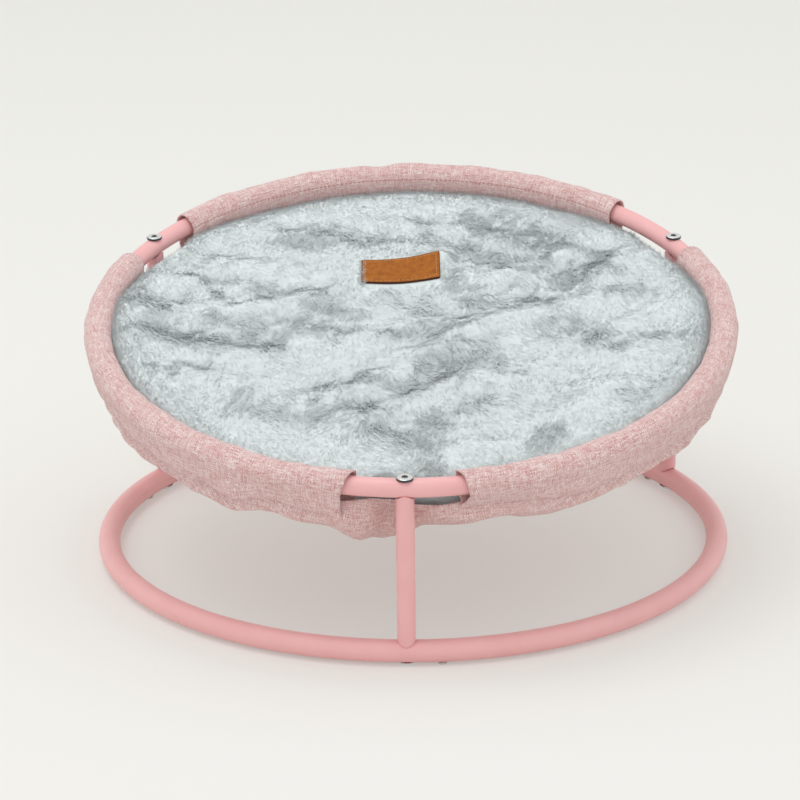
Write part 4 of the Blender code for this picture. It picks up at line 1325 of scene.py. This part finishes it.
def grow(roots, normals, chance, length, width, lie, bent, in_open):
    """Points and frames of hairs: root, knee and tip, with their tone, partly of dye and partly painted shade
    where the pile opens.
    """
    opened = open_pile(*roots[:, :2].T) * (0.3 + 0.7 * ease(roots[:, 2], -12.0 * MM, -4.0 * MM))
    if in_open:
        kept = opened > 0.12 + 0.75 * chance.uniform(0.0, 1.0, len(roots))
        roots, normals, opened = roots[kept], normals[kept], opened[kept]
    count = len(roots)
    across, back = roots[:, :2].T
    out, angles = np.hypot(across, back), np.arctan2(back, across)
    pull = tuft_pull(across, back)
    at_edge = ease(out, 0.88 * cushion_radius, 0.97 * cushion_radius)
    from_patch = outside_patch(across, back)
    over_edge = ease(from_patch, 5.0 * MM, 2.0 * MM) * (on_patch(across, back)[0] < -patch_length / 2)
    on_side = np.abs(normals[:, 2]) < 0.35
    beside_leg = nearness(angles, 1.3 * bowl_leg_dip_reach) * on_side * (back < 0.0)
    off_leg = 1.0 - nearness(angles, 2.0 * bowl_leg_dip_reach)

    drift = (0.45 * waves(across, back, 75 * MM, 93) + 0.12 * waves(across, back, 20 * MM, 94)
             + chance.normal(0.0, 1.0, count) * (0.14 + 0.30 * opened))
    heading = pile_heading + drift + chance.normal(0.0, 0.7, count) * at_edge
    heading = heading * (1.0 - over_edge) + over_edge_heading * over_edge
    flow = np.stack((np.cos(heading), np.sin(heading), np.zeros(count)), axis=1)
    flow[on_side] = (0.0, 0.0, 1.0) + chance.normal(0.0, 0.4, (int(on_side.sum()), 3))
    flow = unit(flow - (flow * normals).sum(axis=1)[:, None] * normals)
    lean = radians(lie) + 0.06 * chance.standard_normal(count) - lift_in_open * (opened + over_edge)
    lean = lean - lift_beside_leg * beside_leg - lift_at_edge * at_edge
    length = length * (1.0 + 0.16 * chance.standard_normal(count)) * (1.0 - 0.22 * opened)
    length = np.where(on_side, length * (0.7 + 0.6 * off_leg + 0.9 * beside_leg), length)
    length = length * (0.75 + 0.25 * ease(from_patch, 0.0, 5.0 * MM)) * (1.0 + 0.7 * over_edge)

    first, second = (unit(np.cos(turn)[:, None] * normals + np.sin(turn)[:, None] * flow)
                     for turn in (lean, np.minimum(lean + radians(bent), most_lean)))
    knee = roots + first * (0.5 * length)[:, None] + pull * (0.10 * opened)[:, None]
    tip = knee + second * (0.55 * length)[:, None] + pull * (0.25 * opened)[:, None]
    tip += chance.normal(0.0, 0.12 * MM, (count, 3))
    limit = np.maximum(cushion_radius + 0.6 * MM, out + side_room)
    for points in (knee, tip):
        above = ((points - roots) * normals).sum(axis=1) / np.maximum(normals[:, 2], 0.3)
        combed = skin_height(points[:, 0] * skin_fit, points[:, 1] * skin_fit) + above
        reach = np.hypot(points[:, 0], points[:, 1])
        inside = ease(reach, cushion_radius - 4.0 * MM, cushion_radius - 9.0 * MM)
        points[:, 2] += (combed - points[:, 2]) * ease(normals[:, 2], 0.45, 0.75) * inside
        shrink = np.where((reach > limit) & (points[:, 2] < 9 * MM), limit / np.maximum(reach, 1e-6), 1.0)
        points[:, :2] *= shrink[:, None]

    clump = clumps(across, back)
    # Where the pile opens, the hairs that are not frosted are painted darker: partly the plush's own darker dye,
    # partly painted shade inside the open pile.
    frosted = clump + 0.30 * chance.uniform(0.0, 1.0, count) > 0.50
    tone = tone_of_closed + np.where(frosted, 0.0, 1.04) * opened + 0.10 * (0.5 - clump)
    tone = tone + 0.45 * on_side * (clump - 0.25)
    tone = np.clip(tone + 0.05 * chance.standard_normal(count), 0.02, 0.98)
    return roots, normals, knee, tip, tone, width * (1.0 + 0.2 * chance.standard_normal(count))


def turned_up(normals):
    """Shading normals of the pile: on steep skin too, its soft hairs catch light from above."""
    lifted = normals.copy()
    lifted[:, 2] += 0.9 * (1.0 - np.clip(normals[:, 2], 0.0, 1.0))
    return unit(lifted)


root_depth = 0.6 * MM


def hair_sides(direction, normals):
    """Three directions round a hair, at right angles to it."""
    side = unit(np.cross(direction, normals + 1e-4))
    other = np.cross(direction, side)
    return np.stack([side * cos(turn) + other * sin(turn) for turn in (0.0, 2.0 * pi / 3, 4.0 * pi / 3)], axis=1)


def hair_parts(roots, normals, knee, tip, tone, width, curved):
    """Vertices, triangles, map and shading normals of many hairs.

    Each hair is a closed spike with three sides. A curved one has a second ring at its knee.
    """
    count = len(roots)
    start = roots - normals * root_depth
    sides = hair_sides(unit(knee - start), normals)
    levels = [(start, 0.5, 0.0), (knee, 0.42, 0.52)] if curved else [(start, 0.5, 0.0)]
    points = [place[:, None, :] + sides * (width * thick)[:, None, None] for place, thick, _ in levels]
    points.append(tip[:, None, :])
    vertices = np.concatenate(points, axis=1)
    size = vertices.shape[1]
    pattern = [(2, 1, 0)]
    for level in range(len(levels) - 1):
        low, high = 3 * level, 3 * level + 3
        for k in range(3):
            after = (k + 1) % 3
            pattern += [(low + k, low + after, high + after), (low + k, high + after, high + k)]
    pattern += [(size - 4 + k, size - 4 + (k + 1) % 3, size - 1) for k in range(3)]
    triangles = (np.arange(count)[:, None, None] * size + np.array(pattern)[None]).reshape(-1, 3)
    rise = np.concatenate([np.full(3, level[2]) for level in levels] + [np.array([1.0])])
    spread = np.concatenate([np.array([-1.0, 0.0, 1.0])] * len(levels) + [np.array([0.0])]) * 0.012
    flat = np.stack((np.clip(tone[:, None] + spread[None], 0.001, 0.999),
                     np.broadcast_to(rise * 0.96 + 0.02, (count, size))), axis=-1)
    round_sides = np.concatenate([sides] * len(levels) + [unit(tip - knee)[:, None, :]], axis=1)
    roundness_seen = (0.14 + 0.34 * tone)[:, None, None]
    lit = unit(turned_up(normals)[:, None, :] * (1.0 - roundness_seen) + round_sides * roundness_seen)
    return vertices.reshape(-1, 3), triangles, flat.reshape(-1, 2), lit.reshape(-1, 3)


# Number and seed, length, width, lie and bend in degrees, and whether they grow only in open pile
hair_kinds = (
    (230000, 61, 4.2 * MM, 0.42 * MM, 80.5, 2.0, False),
    (260000, 62, 6.0 * MM, 0.50 * MM, 77.0, 8.0, True))
parts = [hair_parts(*grow(*spread_roots(count, seed), *form, in_open), curved=in_open)
         for count, seed, *form, in_open in hair_kinds]
print("hairs:", [len(part[1]) for part in parts], "triangles")

# %% Join the pad and its pile into one mesh
under = pad_normals[:, 2] < -0.2
pad_open = open_pile(*pad_vertices[:, :2].T)
pad_side = ease(np.abs(pad_normals[:, 2]), 0.6, 0.3)
pad_blotches = waves(pad_vertices[:, 0] + pad_vertices[:, 2], pad_vertices[:, 1], 6 * MM, 97)
# The skin under the pile is painted darker where the pile opens, and nearer the roots' colour there: painted
# shade among the hairs.
pad_tone = np.where(under, 0.25, tone_of_closed + 0.34 * pad_open)
pad_tone = pad_tone + 0.16 * pad_side * np.clip(1.0 + pad_blotches, 0.0, 2.0)
pad_map = np.stack((pad_tone, np.where(under, 0.55, 0.70 - 0.30 * pad_open)), axis=1)
pad_lit = np.where(under[:, None], pad_normals, turned_up(pad_normals))
parts.insert(0, (pad_vertices, pad_triangles, pad_map, pad_lit))


def joined(parts, name):
    """One mesh from many vertices and triangles, with its map and its shading normals."""
    starts = np.cumsum([0] + [len(part[0]) for part in parts])
    triangles = np.concatenate([part[1] + start for part, start in zip(parts, starts)])
    vertices, flat, lit = (np.concatenate([part[k] for part in parts]) for k in (0, 2, 3))
    mesh = bpy.data.meshes.new(name)
    mesh.vertices.add(len(vertices))
    mesh.vertices.foreach_set("co", vertices.astype(np.float32).ravel())
    mesh.loops.add(triangles.size)
    mesh.loops.foreach_set("vertex_index", triangles.astype(np.int32).ravel())
    mesh.polygons.add(len(triangles))
    mesh.polygons.foreach_set("loop_start", np.arange(0, triangles.size, 3, dtype=np.int32))
    for map_name in ("pile", "OFBake"):
        layer = mesh.uv_layers.new(name=map_name)
        layer.data.foreach_set("uv", flat[triangles.ravel()].astype(np.float32).ravel())
    mesh.update(calc_edges=True)
    mesh.shade_smooth()
    return put_in_scene(name, mesh), lit


cushion, lit = joined(parts, "plush_cushion")
settle(cushion, rim_frame)
turned = lit @ np.array(rim_frame.to_3x3()).T
cushion.data.normals_split_custom_set_from_vertices(turned.tolist())

# %% Plush
plush = Finish("grey_plush", Roughness=1.0, Specular_IOR_Level=0.12, Sheen_Weight=0.28, Sheen_Roughness=0.6)
tone, rise = plush.map_place("pile")
# The colour darkens from tip to root as painted shade among the hairs, most where the tone says the pile is
# open.
pale = plush.math("MULTIPLY", rise, plush.math("MULTIPLY_ADD", tone, 0.30, 0.32))
pale = plush.math("ADD", pale, plush.math("MULTIPLY_ADD", tone, -0.70, 0.62))
plush.set("Base Color", plush.ramp(pale, (0.0, shade(84, 93, 95)), (0.28, shade(150, 160, 161)),
                                   (0.55, shade(217, 226, 226)), (0.84, shade(228, 236, 236))))
dress(cushion, plush.material, "cushion", "grey_plush", "cushion")

# %% [markdown]
# ## Leather patch
#
# The patch is a small plate of tan leather with a cut edge, sewn down with brown thread close
# to its border. It starts as a cube, is subdivided into a grid and bent onto the pad.

# %% Leather patch
patch = begin("tan_patch", bpy.ops.mesh.primitive_cube_add, size=1.0)
patch.scale = (patch_length, patch_width, patch_thickness)
settle(patch)
edit(patch, "EDGE")
pick(patch, "EDGE", lambda edge: abs(edge.verts[0].co.z - edge.verts[1].co.z) > MM)
bpy.ops.mesh.bevel(offset=1.4 * MM, segments=4, affect="EDGES")
deselect()
apply_modifier(patch, "BEVEL", width=0.25 * MM, segments=2, limit_method="ANGLE", angle_limit=radians(50.0))
for axis, cuts, half in ((0, 14, patch_length / 2), (1, 9, patch_width / 2)):
    edit(patch, "FACE")
    for k in range(1, cuts):
        bpy.ops.mesh.select_all(action="SELECT")
        cut_place, cut_turn = Vector(), Vector()
        cut_place[axis] = -half + 2.0 * half * k / cuts
        cut_turn[axis] = 1.0
        bpy.ops.mesh.bisect(plane_co=cut_place, plane_no=cut_turn)
deselect()


def lay_on_pad(piece, lift):
    """Bend a piece that was modelled flat, with its middle at the origin, onto the patch's bed."""
    flat = np.array([vertex.co for vertex in piece.data.vertices])
    across = patch_centre[0] + flat[:, 0] * cos(patch_turn) - flat[:, 1] * sin(patch_turn)
    back = patch_centre[1] + flat[:, 0] * sin(patch_turn) + flat[:, 1] * cos(patch_turn)
    height = patch_bed(across, back) + flat[:, 2] + lift
    for vertex, place in zip(piece.data.vertices, zip(across, back, height)):
        vertex.co = place
    piece.data.update()


# %% Stitches
# The patch's flat measure goes into its map. The thread is told apart by a map place beyond the patch
thread_radius = 0.38 * MM
stitch_length = 2.2 * MM
stitch_step = 3.1 * MM
stitch_inset = 2.6 * MM
thread_mark = 1.0
dark_edge = 0.5 * MM

flat_map = patch.data.uv_layers.new(name="flat")
for loop in patch.data.loops:
    flat_map.data[loop.index].uv = patch.data.vertices[loop.vertex_index].co.xy

stitch_places = []
half_x, half_y = patch_length / 2 - stitch_inset, patch_width / 2 - stitch_inset
corners = [Vector((x * half_x, y * half_y)) for x, y in ((-1, -1), (1, -1), (1, 1), (-1, 1))]
for start, end in zip(corners, corners[1:] + corners[:1]):
    count = round((end - start).length / stitch_step)
    for k in range(count):
        stitch_places.append((start.lerp(end, (k + 0.5) / count), end - start))
for place, way in stitch_places:
    stitch = begin("stitch", bpy.ops.mesh.primitive_uv_sphere_add, segments=8, ring_count=6, radius=1.0)
    stitch.scale = (stitch_length / 2, thread_radius * 1.3, thread_radius)
    stitch.rotation_euler.z = atan2(way.y, way.x)
    stitch.location = (place.x, place.y, patch_thickness / 2)
    settle(stitch)
    thread_map = stitch.data.uv_layers[0]
    thread_map.name = "flat"
    for loop in stitch.data.loops:
        thread_map.data[loop.index].uv = (thread_mark, 0.0)
    make_active(patch)
    stitch.select_set(True)
    bpy.ops.object.join()
print("patch:", len(stitch_places), "stitches,", len(patch.data.polygons), "faces")

lay_on_pad(patch, patch_thickness / 2)
settle(patch, rim_frame)
smooth_by_angle(patch, 40.0)

leather = Finish("tan_leather", Roughness=0.6, Specular_IOR_Level=0.2)
leather_tone = leather.noise(220.0, detail=4.0, roughness=0.6)
tan_colour = leather.ramp(leather_tone, (0.32, shade(144, 80, 16)), (0.66, shade(174, 102, 28)))
along, up = leather.map_place("flat")
past_x, past_y = (leather.math("SUBTRACT", leather.math("ABSOLUTE", place), size / 2 - dark_edge)
                  for place, size in ((along, patch_length), (up, patch_width)))
past = leather.math("MULTIPLY_ADD", leather.math("MAXIMUM", past_x, past_y), 2.0 / MM, 0.5)
edge_share = leather.math("MINIMUM", leather.math("MAXIMUM", past, 0.0), 1.0)
sewn = leather.math("GREATER_THAN", along, 0.5 * thread_mark)
tan_colour = leather.blend(edge_share, tan_colour, shade(66, 34, 16))
leather.set("Base Color", leather.blend(sewn, tan_colour, shade(186, 132, 82)))
leather.relief(leather.noise(1600.0), 0.12 * MM, 0.5)
dress(patch, leather.material, "cushion", "tan_leather", "leather_patch")
